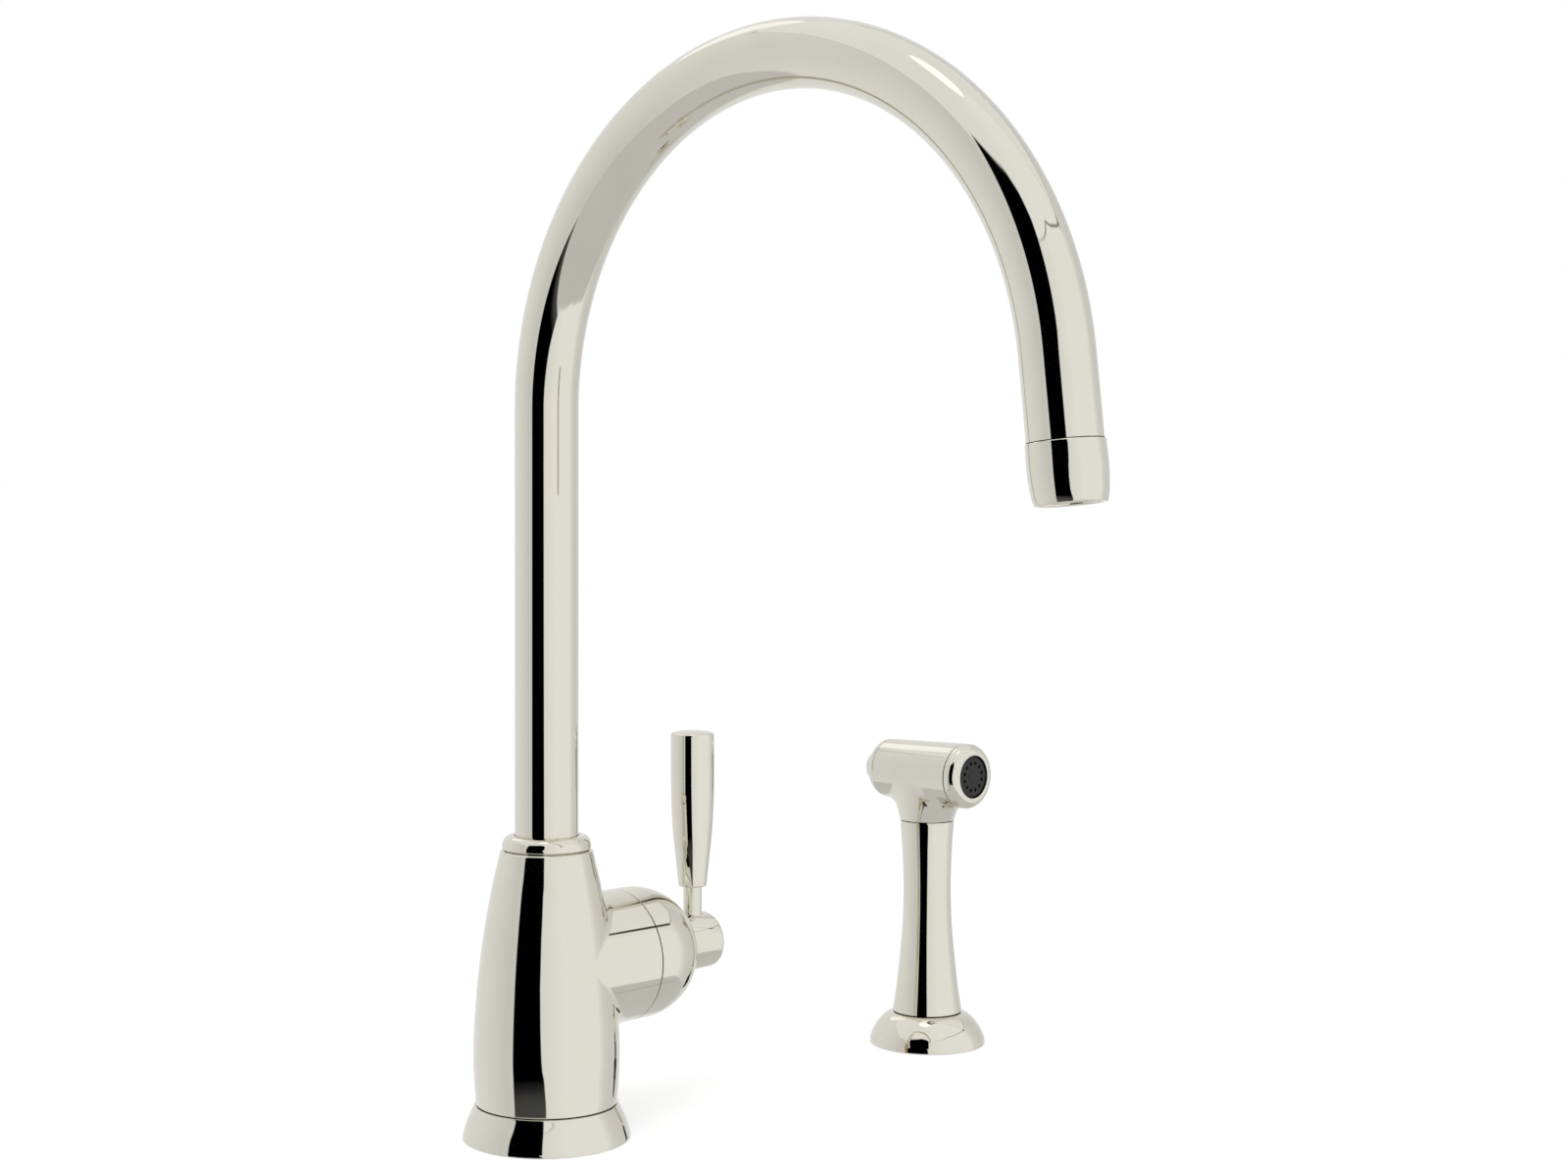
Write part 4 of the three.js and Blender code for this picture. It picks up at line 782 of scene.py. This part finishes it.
NIPPLE_BORE = 2.6
NIPPLE_R = 4.0
NIPPLE_RIB = 4.7
for name, node, x, y in (("brass_hot_nipple", "hot_inlet", 5.669, 4.757),
                         ("brass_cold_nipple", "cold_inlet", 5.669, -4.757),
                         ("brass_spray_nipple", "spray_outlet", -7.4, 0.0)):
    lathed(name, "faucet_base", node, brass, [
        (NIPPLE_BORE, -72), (NIPPLE_R, -72, 0.4), (NIPPLE_R, -66), (NIPPLE_RIB, -66, 0.2),
        (NIPPLE_RIB, -62, 0.2), (NIPPLE_R, -62), (NIPPLE_R, 29.8, 0.3), (NIPPLE_BORE, 29.8)],
        Matrix.Translation((x, y, 0)), sides=64)

# ---------------------------------------------------------------- diverter and the spout's bearing
# Inside the body: the diverter's plastic cage and brass plunger, and the bearing that the spout turns
# in. A brass sleeve is pressed into the tube, with two O-rings, between a washer and a split bush.
dark_plastic = moulded("dark_plastic", (0.045, 0.045, 0.046), (0.06, 0.06, 0.062), 0.35, 0.5, 0.12)
pale_plastic = moulded("pale_plastic", (0.72, 0.7, 0.65), (0.66, 0.64, 0.58), 0.35, 0.5, 0.1)
SLEEVE_BORE = 7.0
SLEEVE_R = 12.3
GROOVE_R = 10.4
PLUG_R = 9.6
lathed("brass_spout_sleeve", "spout", "spout_sleeve", brass, [
    (SLEEVE_BORE, 66), (SLEEVE_R, 66, 0.4), (SLEEVE_R, 69), (GROOVE_R, 69), (GROOVE_R, 71.6),
    (SLEEVE_R, 71.6), (SLEEVE_R, 76), (GROOVE_R, 76), (GROOVE_R, 78.6), (SLEEVE_R, 78.6),
    (SLEEVE_R, 83.7, 0.2), (PLUG_R, 83.7), (PLUG_R, 95, 0.5), (SLEEVE_BORE, 95)])


def round_ring(name, body, node, ring_r, section, z, place=Matrix()):
    """A moulded rubber ring of round section."""
    circle = [(ring_r + section * math.cos(math.tau * i / 20), z + section * math.sin(math.tau * i / 20))
              for i in range(20)]
    lathed(name, body, node, rubber, circle, place, sides=96)


round_ring("lower_spout_ring", "spout", "spout_seal_lower", 11.6, 0.9, 70.3)
round_ring("upper_spout_ring", "spout", "spout_seal_upper", 11.6, 0.9, 77.3)
lathed("thrust_washer_plastic", "faucet_base", "spout_thrust_washer", pale_plastic,
       washer(9.3, 12.5, 64.3, 65.7, 0.2))
lathed("bush_plastic", "faucet_base", "spout_bush", pale_plastic, washer(11.4, 14.3, 86, 88.7, 0.3))
lathed("brass_diverter_plunger", "diverter", "diverter_plunger", brass, [
    (0, 51.7), (3.7, 51.7, 0.3), (3.7, 53.7, 0.3), (1.6, 53.7), (1.6, 64), (6, 64, 0.2), (6, 65.6, 0.4),
    (0, 65.6)], sides=64)
paint_nodes(dark_plastic, "diverter_cage")

# ---------------------------------------------------------------- spout collar
# A turned brass ring, nickel plated, that screws into the body's mouth and keeps the spout down. Its
# full round shoulder leaves a fine dark line at the body and at the tube.
COLLAR_BORE = 11.25
lathed("polished_spout_collar", "faucet_base", "spout_collar", nickel, [
    (11.4, 89), (14.3, 89, 0.3), (14.3, 99.7), (15.25, 99.7), (15.45, 99.85),
    *spline([(15.55, 100.1), (15.48, 101.5), (14.75, 103.2), (13.5, 104.2), (12.4, 104.5)]), (11.7, 104.5),
    (11.35, 104.4), (COLLAR_BORE, 104.15), (COLLAR_BORE, 103)])

# ---------------------------------------------------------------- gooseneck spout
# Drawn brass tube, bent in one plane, polished and nickel plated. It follows a path up from the
# body's socket, round the bend and down to the outlet.
TUBE_R = 11.1
TUBE_INNER = 9.9
TUBE_LOW = 84.0
RISER_STEPS = 24
BEND_R = 110.3
BEND_Z = 251.0
BEND_SWEEP = math.radians(173.45)
BEND_STEPS = round(BEND_R * BEND_SWEEP / 2)               # about 2 mm each
OUTLET_STRAIGHT = 24.7
OUTLET_STEPS = 6
route = [Vector((0, 0, TUBE_LOW + (BEND_Z - TUBE_LOW) * i / RISER_STEPS)) for i in range(RISER_STEPS)]
for i in range(BEND_STEPS + 1):
    turn = BEND_SWEEP * i / BEND_STEPS
    route.append(Vector((0, -BEND_R * (1 - math.cos(turn)), BEND_Z + BEND_R * math.sin(turn))))
ahead = Vector((0, -math.sin(BEND_SWEEP), math.cos(BEND_SWEEP)))
route += [route[-1] + ahead * OUTLET_STRAIGHT * (i + 1) / OUTLET_STEPS for i in range(OUTLET_STEPS)]

tube_group, given = modelling_group("bent_tube", {"Outside": 0.011, "Inside": 0.0099, "Around": 96})
line = add(tube_group, "MeshToCurve", Mesh=given["Geometry"])
walls = []
for label in ("Outside", "Inside"):
    section = add(tube_group, "CurvePrimitiveCircle", Resolution=given["Around"], Radius=given[label])
    walls.append(add(tube_group, "CurveToMesh", Curve=line, Profile_Curve=section, Fill_Caps=False))
lining = add(tube_group, "FlipFaces", Mesh=walls[1])
both = add(tube_group, "JoinGeometry", Geometry=walls[0])
connect(both, Geometry=lining)
hand_over(tube_group, given, both)

path = bpy.data.meshes.new("gooseneck_path")
path.from_pydata([p * MM for p in route], [(i, i + 1) for i in range(len(route) - 1)], [])
spout = bpy.data.objects.new("polished_gooseneck", path)
scene.collection.objects.link(spout)
grown(spout, tube_group, nickel, {"Outside": TUBE_R * MM, "Inside": TUBE_INNER * MM, "Around": 112})
fit(spout, "spout", "spout_tube")

# ---------------------------------------------------------------- aerator on the spout's end
# A turned and plated housing pushed into the tube, with a seam above it. Inside it a dark moulded
# comb breaks up the stream.
upstream = -(route[-1] - route[-2])
outlet = Matrix.Translation(route[-1]) @ upstream.to_track_quat("Z", "Y").to_matrix().to_4x4()
lathed("polished_aerator_housing", "spout", "aerator_housing", nickel, [
    (7.6, 8), (PLUG_R, 8, 0.4), (PLUG_R, -0.3), (11.3, -0.3), (11.5, -0.5),
    *spline([(11.5, -0.7), (11.65, -8), (11.2, -14.5), (10.52, -17.8)]), (10.35, -18.05), (10.0, -18.1),
    (9.4, -18.1, 0.2), (8.9, -17.3), (8.9, -3), (7.6, -3)], outlet)
lathed("rubber_aerator_washer", "spout", "aerator_washer", rubber, washer(6.2, 8.6, -5, -3.3), outlet)

# Holes through a disc: a drill at each point of a pattern.
drill_group, given = modelling_group("drilled_pattern", {
    "Pattern": "Object", "Aim": (0.0, 0.0, 1.0), "Hole": 0.001, "Depth": 0.02, "Corners": 24})
pattern = add(drill_group, "ObjectInfo", {"transform_space": "ORIGINAL"}, Object=given["Pattern"])
drill = add(drill_group, "MeshCylinder", Vertices=given["Corners"], Radius=given["Hole"],
            Depth=given["Depth"])
aim = add(drill_group, "FunctionNodeAlignRotationToVector", {"axis": "Z"}, Vector=given["Aim"])
drills = add(drill_group, "InstanceOnPoints", Points=pattern.outputs["Geometry"], Instance=drill,
             Rotation=aim)
drills = add(drill_group, "RealizeInstances", Geometry=drills)
bare = add(drill_group, "RemoveAttribute", Geometry=given["Geometry"], Name="custom_normal")
holed = add(drill_group, "MeshBoolean", {"operation": "DIFFERENCE", "solver": "EXACT"},
            Mesh_1=bare, Mesh_2=drills)
hand_over(drill_group, given, holed)


def drilled(piece, spots, aim, hole, depth, corners, material):
    """Round holes through a piece at points given in millimetres, all along one direction."""
    marker = bpy.data.meshes.new("drill_spots")
    marker.from_pydata([spot * MM for spot in spots], [], [])
    holder = bpy.data.objects.new("drill_spots", marker)
    scene.collection.objects.link(holder)
    grown(piece, drill_group, material, {
        "Pattern": holder, "Aim": tuple(aim), "Hole": hole * MM, "Depth": depth * MM, "Corners": corners})
    bpy.data.objects.remove(holder)


COMB_PITCH = 2.3
COMB_HOLE = 0.95
COMB_R = 6.4
comb = turned("dark_aerator_comb", [
    (0, -15.5), (8.6, -15.5, 0.3), (8.6, -5.3), (7.4, -5.3), (7.4, -12.5), (0, -12.5)],
    dark_plastic, outlet)
spots = []
for row in range(-4, 5):
    for column in range(-4, 5):
        spot = Vector((COMB_PITCH * (column + row / 2), COMB_PITCH * row * math.sqrt(3) / 2, -14))
        if math.hypot(spot.x, spot.y) < COMB_R - COMB_HOLE / 2:
            spots.append(outlet @ spot)
drilled(comb, spots, outlet.to_3x3() @ Vector((0, 0, 1)), COMB_HOLE, 5, 6, dark_plastic)
fit(comb, "spout", "aerator_insert")

# ---------------------------------------------------------------- ceramic cartridge
# Along the lever's axis, in the boss: a moulded base with seals, two ceramic discs, a carrier, a rotor
# and a steel spindle on its pin, in a moulded housing held by a brass nut.
hub = Matrix.Translation((0, 0, HUB_Z)) @ Matrix(((0, 0, 1, 0), (0, 1, 0, 0), (-1, 0, 0, 0), (0, 0, 0, 1)))
ceramic = moulded("fired_ceramic", (0.83, 0.8, 0.73), (0.78, 0.75, 0.68), 0.12, 0.22, 0.03, 1400.0)
paint_nodes(ceramic, "fixed_disc", "sliding_disc")
paint_nodes(pale_plastic, "cartridge_base", "cartridge_rotor", "nozzle_screen")
paint_nodes(dark_plastic, "disc_carrier", "dome_shield")
paint_nodes(steel, "spindle_pin", "cartridge_spindle", "valve_stem")
lathed("moulded_cartridge_housing", "faucet_base", "cartridge_housing", dark_plastic, [
    (15.2, 20.3), (17.7, 20.3, 0.3), (17.7, 27.3), (20.2, 27.3, 0.2), (20.2, 29.5, 0.2), (17.5, 29.5),
    (17.5, 45.8, 0.5), (9, 45.8, 0.3), (9, 43.8), (15.2, 43.8)], hub)
lathed("brass_cartridge_nut", "faucet_base", "cartridge_nut", brass, [
    (17.7, 29.8), (20.2, 29.8, 0.3), (20.2, 38.7, 0.4), (17.7, 38.7)], hub)

# ---------------------------------------------------------------- dome cover and knob
# A spun and plated dome screws over the cartridge's nut. The knob, turned from brass and plated, glides
# over it on a hollow foot; a grub screw underneath holds it on the spindle.
DOME_R = 23.3
DOME_INNER = 21.5
DOME_LOW = 33.75
PIVOT_X = 40.6
KNOB_R = 10.2
KNOB_END = 77.9
KNOB_EDGE = 1.8
SPINDLE_R = 3.3
SPINDLE_END = 66.6
FOOT_SPHERE = 23.6
SCREW_X = 65.9


def arc(centre_r, centre_z, radius, start, end, pieces):
    """Points of a circle in an outline, between two angles in degrees."""
    angles = [math.radians(start + (end - start) * i / pieces) for i in range(pieces + 1)]
    return [(max(0.0, centre_r + radius * math.cos(a)), centre_z + radius * math.sin(a)) for a in angles]


lathed("polished_dome_cover", "faucet_base", "dome_cover", nickel, [
    (20.5, DOME_LOW), (DOME_R - 0.2, DOME_LOW), (DOME_R, DOME_LOW + 0.15), (DOME_R, PIVOT_X - 2),
    (DOME_R, PIVOT_X - 0.3), *arc(0, PIVOT_X, DOME_R, 0, 90, 44), *arc(0, PIVOT_X, DOME_INNER, 90, 2, 24),
    (21.4, 39), (20.5, 39)], hub)

foot_angle = math.degrees(math.acos(KNOB_R / FOOT_SPHERE))
bore_angle = math.degrees(math.acos(SPINDLE_R / FOOT_SPHERE))
knob = turned("polished_handle_knob", [
    (SPINDLE_R, SPINDLE_END), *arc(0, PIVOT_X, FOOT_SPHERE, bore_angle, foot_angle + 0.6, 8),
    (KNOB_R, PIVOT_X + FOOT_SPHERE * math.sin(math.radians(foot_angle)), 0.2),
    *arc(KNOB_R - KNOB_EDGE, KNOB_END - KNOB_EDGE, KNOB_EDGE, 0, 90, 10), (0, KNOB_END), (0, SPINDLE_END)],
    nickel, hub)
drilled(knob, [Vector((SCREW_X, 0, HUB_Z - 7))], Vector((0, 0, 1)), 1.7, 9, 32, nickel)
fit(knob, "lever", "handle_knob")
lathed("steel_grub_screw", "lever", "knob_grub_screw", steel, [
    (0, 3.3), (1.4, 3.3, 0.3), (1.4, 9.2, 0.3), (0.75, 9.2), (0.75, 6.2), (0, 6.2)],
    Matrix.Translation((SCREW_X, 0, HUB_Z)) @ Matrix.Rotation(math.pi, 4, "X"), sides=48)

# ---------------------------------------------------------------- lever stem and grip
# A plated stem stands in the knob; the tapering grip, turned from brass, polished and plated, is
# screwed on it.
STEM_X = 70.7
STEM_R = 3.4
lever_axis = Matrix.Translation((STEM_X, 0, HUB_Z))
lathed("polished_lever_stem", "lever", "lever_stem", nickel,
       [(0, 2.8), (STEM_R, 2.8, 0.3), (STEM_R, 34.2, 0.3), (0, 34.2)], lever_axis, sides=96)
lathed("polished_lever_grip", "lever", "lever_grip", nickel, [
    (STEM_R + 0.3, 20.2), (4.7, 20.2), (5.0, 20.3), (5.18, 20.52),
    *spline([(5.25, 20.9), (6.1, 29), (7.2, 39.5), (7.85, 50.5), (8, 60.5), (8, 75.4)]),
    (7.97, 75.75), (7.86, 76), (7.7, 76.2), (7.45, 76.36), (7.1, 76.5), (6.8, 76.6),
    (5.6, 76.83), (4, 77.05), (2, 77.17), (0, 77.2), (0, 34.5), (STEM_R + 0.3, 34.5)], lever_axis)

# ---------------------------------------------------------------- spray holder
# A spun and plated flange on the deck, 8 inches from the faucet, over a threaded plastic guide that a
# plastic nut draws down. The handset stands in the guide.
SPRAY_X = 203.2
spray = Matrix.Translation((SPRAY_X, 0, 0))
HOLDER_R = 23.0
HOLDER_TOP = 12.5
GUIDE_CLEAR_R = 11.3
lathed("polished_spray_flange", "faucet_base", "spray_flange", nickel, [
    (GUIDE_CLEAR_R, 0), (14, 0), (14, 2.8), (20.5, 2.8), (20.5, 0), (HOLDER_R, 0, 0.3),
    *spline([(HOLDER_R, 2.2), (21.6, 5.5), (19.3, 8.9), (16.6, 11.4), (14.35, 12.42)]), (14.2, HOLDER_TOP),
    (13.6, HOLDER_TOP), (13.6, 8), (GUIDE_CLEAR_R, 8)], spray)

GUIDE_BORE = 9.0
GUIDE_R = 11.0
GUIDE_LOW = -42
GUIDE_TURNS = 20
core_r = GUIDE_R - THREAD_RIDGE - 0.05
guide = turned("dark_spray_guide", [
    (GUIDE_BORE, GUIDE_LOW), (core_r, GUIDE_LOW, 0.4), (core_r, 0), (GUIDE_R, 0.9), (GUIDE_R, 8.3),
    (13.3, 8.3, 0.2), (13.3, HOLDER_TOP, 0.5), (9.8, HOLDER_TOP), (GUIDE_BORE, 11.5)], dark_plastic, spray)
threaded(guide, core_r, GUIDE_TURNS, SPRAY_X, GUIDE_LOW, dark_plastic)
fit(guide, "faucet_base", "spray_guide")
lathed("rubber_spray_washer", "faucet_base", "spray_washer", rubber,
       washer(GUIDE_CLEAR_R, 19, -23, -20, 0.5), spray)
spray_nut = hex_nut("dark_spray_nut", 32.0, GUIDE_CLEAR_R, -31.3, -23.3, dark_plastic, spray)
fit(spray_nut, "faucet_base", "spray_nut")

# ---------------------------------------------------------------- spray handle and hose connector
# The handset's turned and plated handle, waisted in the middle; the brass connector for the hose turns
# in its tail.
lathed("polished_spray_handle", "spray", "spray_handle", nickel, [
    (6.1, -14), (8.7, -14, 0.4), (8.7, 12.8), (13.6, 12.8), (13.86, 13.1),
    *spline([(13.8, 13.5), (12.6, 21.5), (11.2, 34), (10.05, 46.7), (9.65, 57), (9.65, 67), (10.15, 79.5),
             (10.9, 89.3)]),
    (10.86, 89.5), (10.7, 89.6), (8.3, 89.6), (8.3, 77.5), (5.5, 77.5), (5.5, -4), (6.1, -4)], spray)
connector = hex_nut("brass_hose_connector", 7.6 * math.sqrt(3), 5.6, -22, -14.3, brass, spray, 0.2)
tail = turned("connector_tail", [(3.4, -20), (5.8, -20), (5.8, -4.3, 0.4), (3.4, -4.3)],
              brass, spray, sides=64)
join_group, given = modelling_group("joined_pieces", {"Other": "Object"})
other = add(join_group, "ObjectInfo", {"transform_space": "ORIGINAL"}, Object=given["Other"])
pair = add(join_group, "JoinGeometry", Geometry=given["Geometry"])
connect(pair, Geometry=other.outputs["Geometry"])
hand_over(join_group, given, pair)
grown(connector, join_group, brass, {"Other": tail})
bpy.data.objects.remove(tail)
fit(connector, "spray_hose_end", "hose_connector")
lathed("rubber_hose_seal", "spray_hose_end", "hose_seal", rubber, washer(2.5, 4.8, -3.7, -2.4, 0.2),
       spray, sides=64)
round_ring("rubber_neck_ring", "spray", "neck_seal", 6.9, 0.8, 78.6, spray)

# ---------------------------------------------------------------- spray head
# One plated casting: a short barrel across the handle, a little thinner at the rear, on a neck that
# flares into it over a fillet.
BARREL_Z = 108.9
SEAM = -18.9
BARREL_FRONT_R = 12.9
BARREL_REAR_R = 11.9
BARREL_REAR = 23.8
REAR_ROUND = 5.0
barrel = Matrix(((0, -1, 0, SPRAY_X), (0, 0, 1, 0), (-1, 0, 0, BARREL_Z), (0, 0, 0, 1)))
taper_end = BARREL_REAR - REAR_ROUND


def barrel_radius(along):
    share = (along - SEAM - 0.4) / (taper_end - SEAM - 0.4)
    return BARREL_FRONT_R + (BARREL_REAR_R - BARREL_FRONT_R) * share


spray_head = branched(
    "polished_spray_head",
    [(0, -9.8), (10.4, -9.8), (10.4, SEAM), (12.6, SEAM), (12.82, SEAM + 0.08),
     (BARREL_FRONT_R, SEAM + 0.3)],
    barrel_radius,
    [*arc(BARREL_REAR_R - REAR_ROUND, taper_end, REAR_ROUND, 0, 88, 14), (6.9, BARREL_REAR),
     (6.5, BARREL_REAR), (6.5, 8), (0, 8)],
    {"low": -18.45, "high": 19.3, "rows": 42, "z": 0.0, "r": 12.2, "fillet": (4.6, 5.2), "spread": 0.08,
     "oval": 1.6, "straight": 18.9, "foot": 10.9,
     "end": [(10.8, 19.05), (8, 19.05), (8, 29.2), (4.5, 29.2), (4.5, 6), (0, 6)]},
    nickel, barrel)
fit(spray_head, "spray", "spray_head")

# ---------------------------------------------------------------- nozzle ring and face
# The plated ring screws into the barrel's front and holds the dark face with its 12 jets, a screen
# and a gasket.
face_plastic = moulded("spray_face_plastic", (0.017, 0.017, 0.016), (0.024, 0.024, 0.023), 0.45, 0.6, 0.12)
face_plastic.node_tree.nodes["Principled BSDF"].inputs["Specular IOR Level"].default_value = 0.3
lathed("polished_nozzle_ring", "spray", "nozzle_ring", nickel, [
    (8.4, -23.8), (8.5, -24.2), (8.8, -24.38), *arc(9.1, -20.6, 3.8, -90, 0, 20), (12.9, -19.45),
    (12.82, -19.22), (12.6, -19.13), (10.1, -19.13), (10.1, -12), (9.1, -12), (9.1, -22.1), (8.4, -22.1)],
    barrel)
JETS = 12
JET_CIRCLE = 5.4
face = turned("dark_nozzle_face", [
    (0, -24.1), (2.4, -24.1, 0.1), (2.7, -23.85), (7.5, -23.85, 0.2), (8.1, -23.35, 0.2), (8.1, -21.8),
    (8.8, -21.8), (8.8, -18.7), (7.4, -18.7), (7.4, -21.1), (0, -21.1)], face_plastic, barrel, sides=96)
spots = [barrel @ Vector((JET_CIRCLE * math.cos(math.tau * (i + 0.5) / JETS),
                          JET_CIRCLE * math.sin(math.tau * (i + 0.5) / JETS), -22.6)) for i in range(JETS)]
drilled(face, spots, Vector((0, 1, 0)), 0.75, 5, 20, face_plastic)
fit(face, "spray", "nozzle_face")
lathed("rubber_nozzle_gasket", "spray", "nozzle_gasket", rubber, washer(8.2, 10.1, -11.7, -10.1), barrel)

# ---------------------------------------------------------------- spray button and its valve
# The plated button at the rear of the barrel pushes a steel stem, with a rubber on its plate, off the
# seat; a wound steel spring brings it back.
lathed("polished_spray_button", "spray_valve", "spray_button", nickel, [
    (0, 25.8), (4.9, 25.8), (4.9, 15.8), (6.2, 15.8, 0.2), *arc(4.6, 26.6, 1.6, 0, 75, 10), (4.2, 28.42),
    (2.6, 28.7), (1.3, 28.78), (0, 28.8)], barrel)
lathed("brass_stem_guide", "spray", "stem_guide", brass, washer(2.1, 6.2, 8.3, 12.4, 0.3), barrel, sides=64)
lathed("rubber_valve_seat", "spray_valve", "valve_rubber", rubber, washer(2.1, 5.6, -11.8, -10.1, 0.2),
       barrel, sides=64)
SPRING_R = 3.6
SPRING_WIRE = 0.45
SPRING_LOW = 13.15
SPRING_HIGH = 25.05
SPRING_TURNS = 5.0
spring_group = winding_group("wound_spring", 40, 12, False, (-math.pi / 2, 0.0, 0.0))
spring = bpy.data.objects.new("steel_return_spring", bpy.data.meshes.new("steel_return_spring"))
scene.collection.objects.link(spring)
grown(spring, spring_group, steel, {
    "Radius": SPRING_R * MM, "Section": SPRING_WIRE * MM, "Turns": SPRING_TURNS,
    "Height": (SPRING_HIGH - SPRING_LOW) * MM, "Start": (SPRAY_X * MM, SPRING_LOW * MM, BARREL_Z * MM)})
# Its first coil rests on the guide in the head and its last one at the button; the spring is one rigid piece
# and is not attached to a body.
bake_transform(spring)
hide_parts("button_spring")
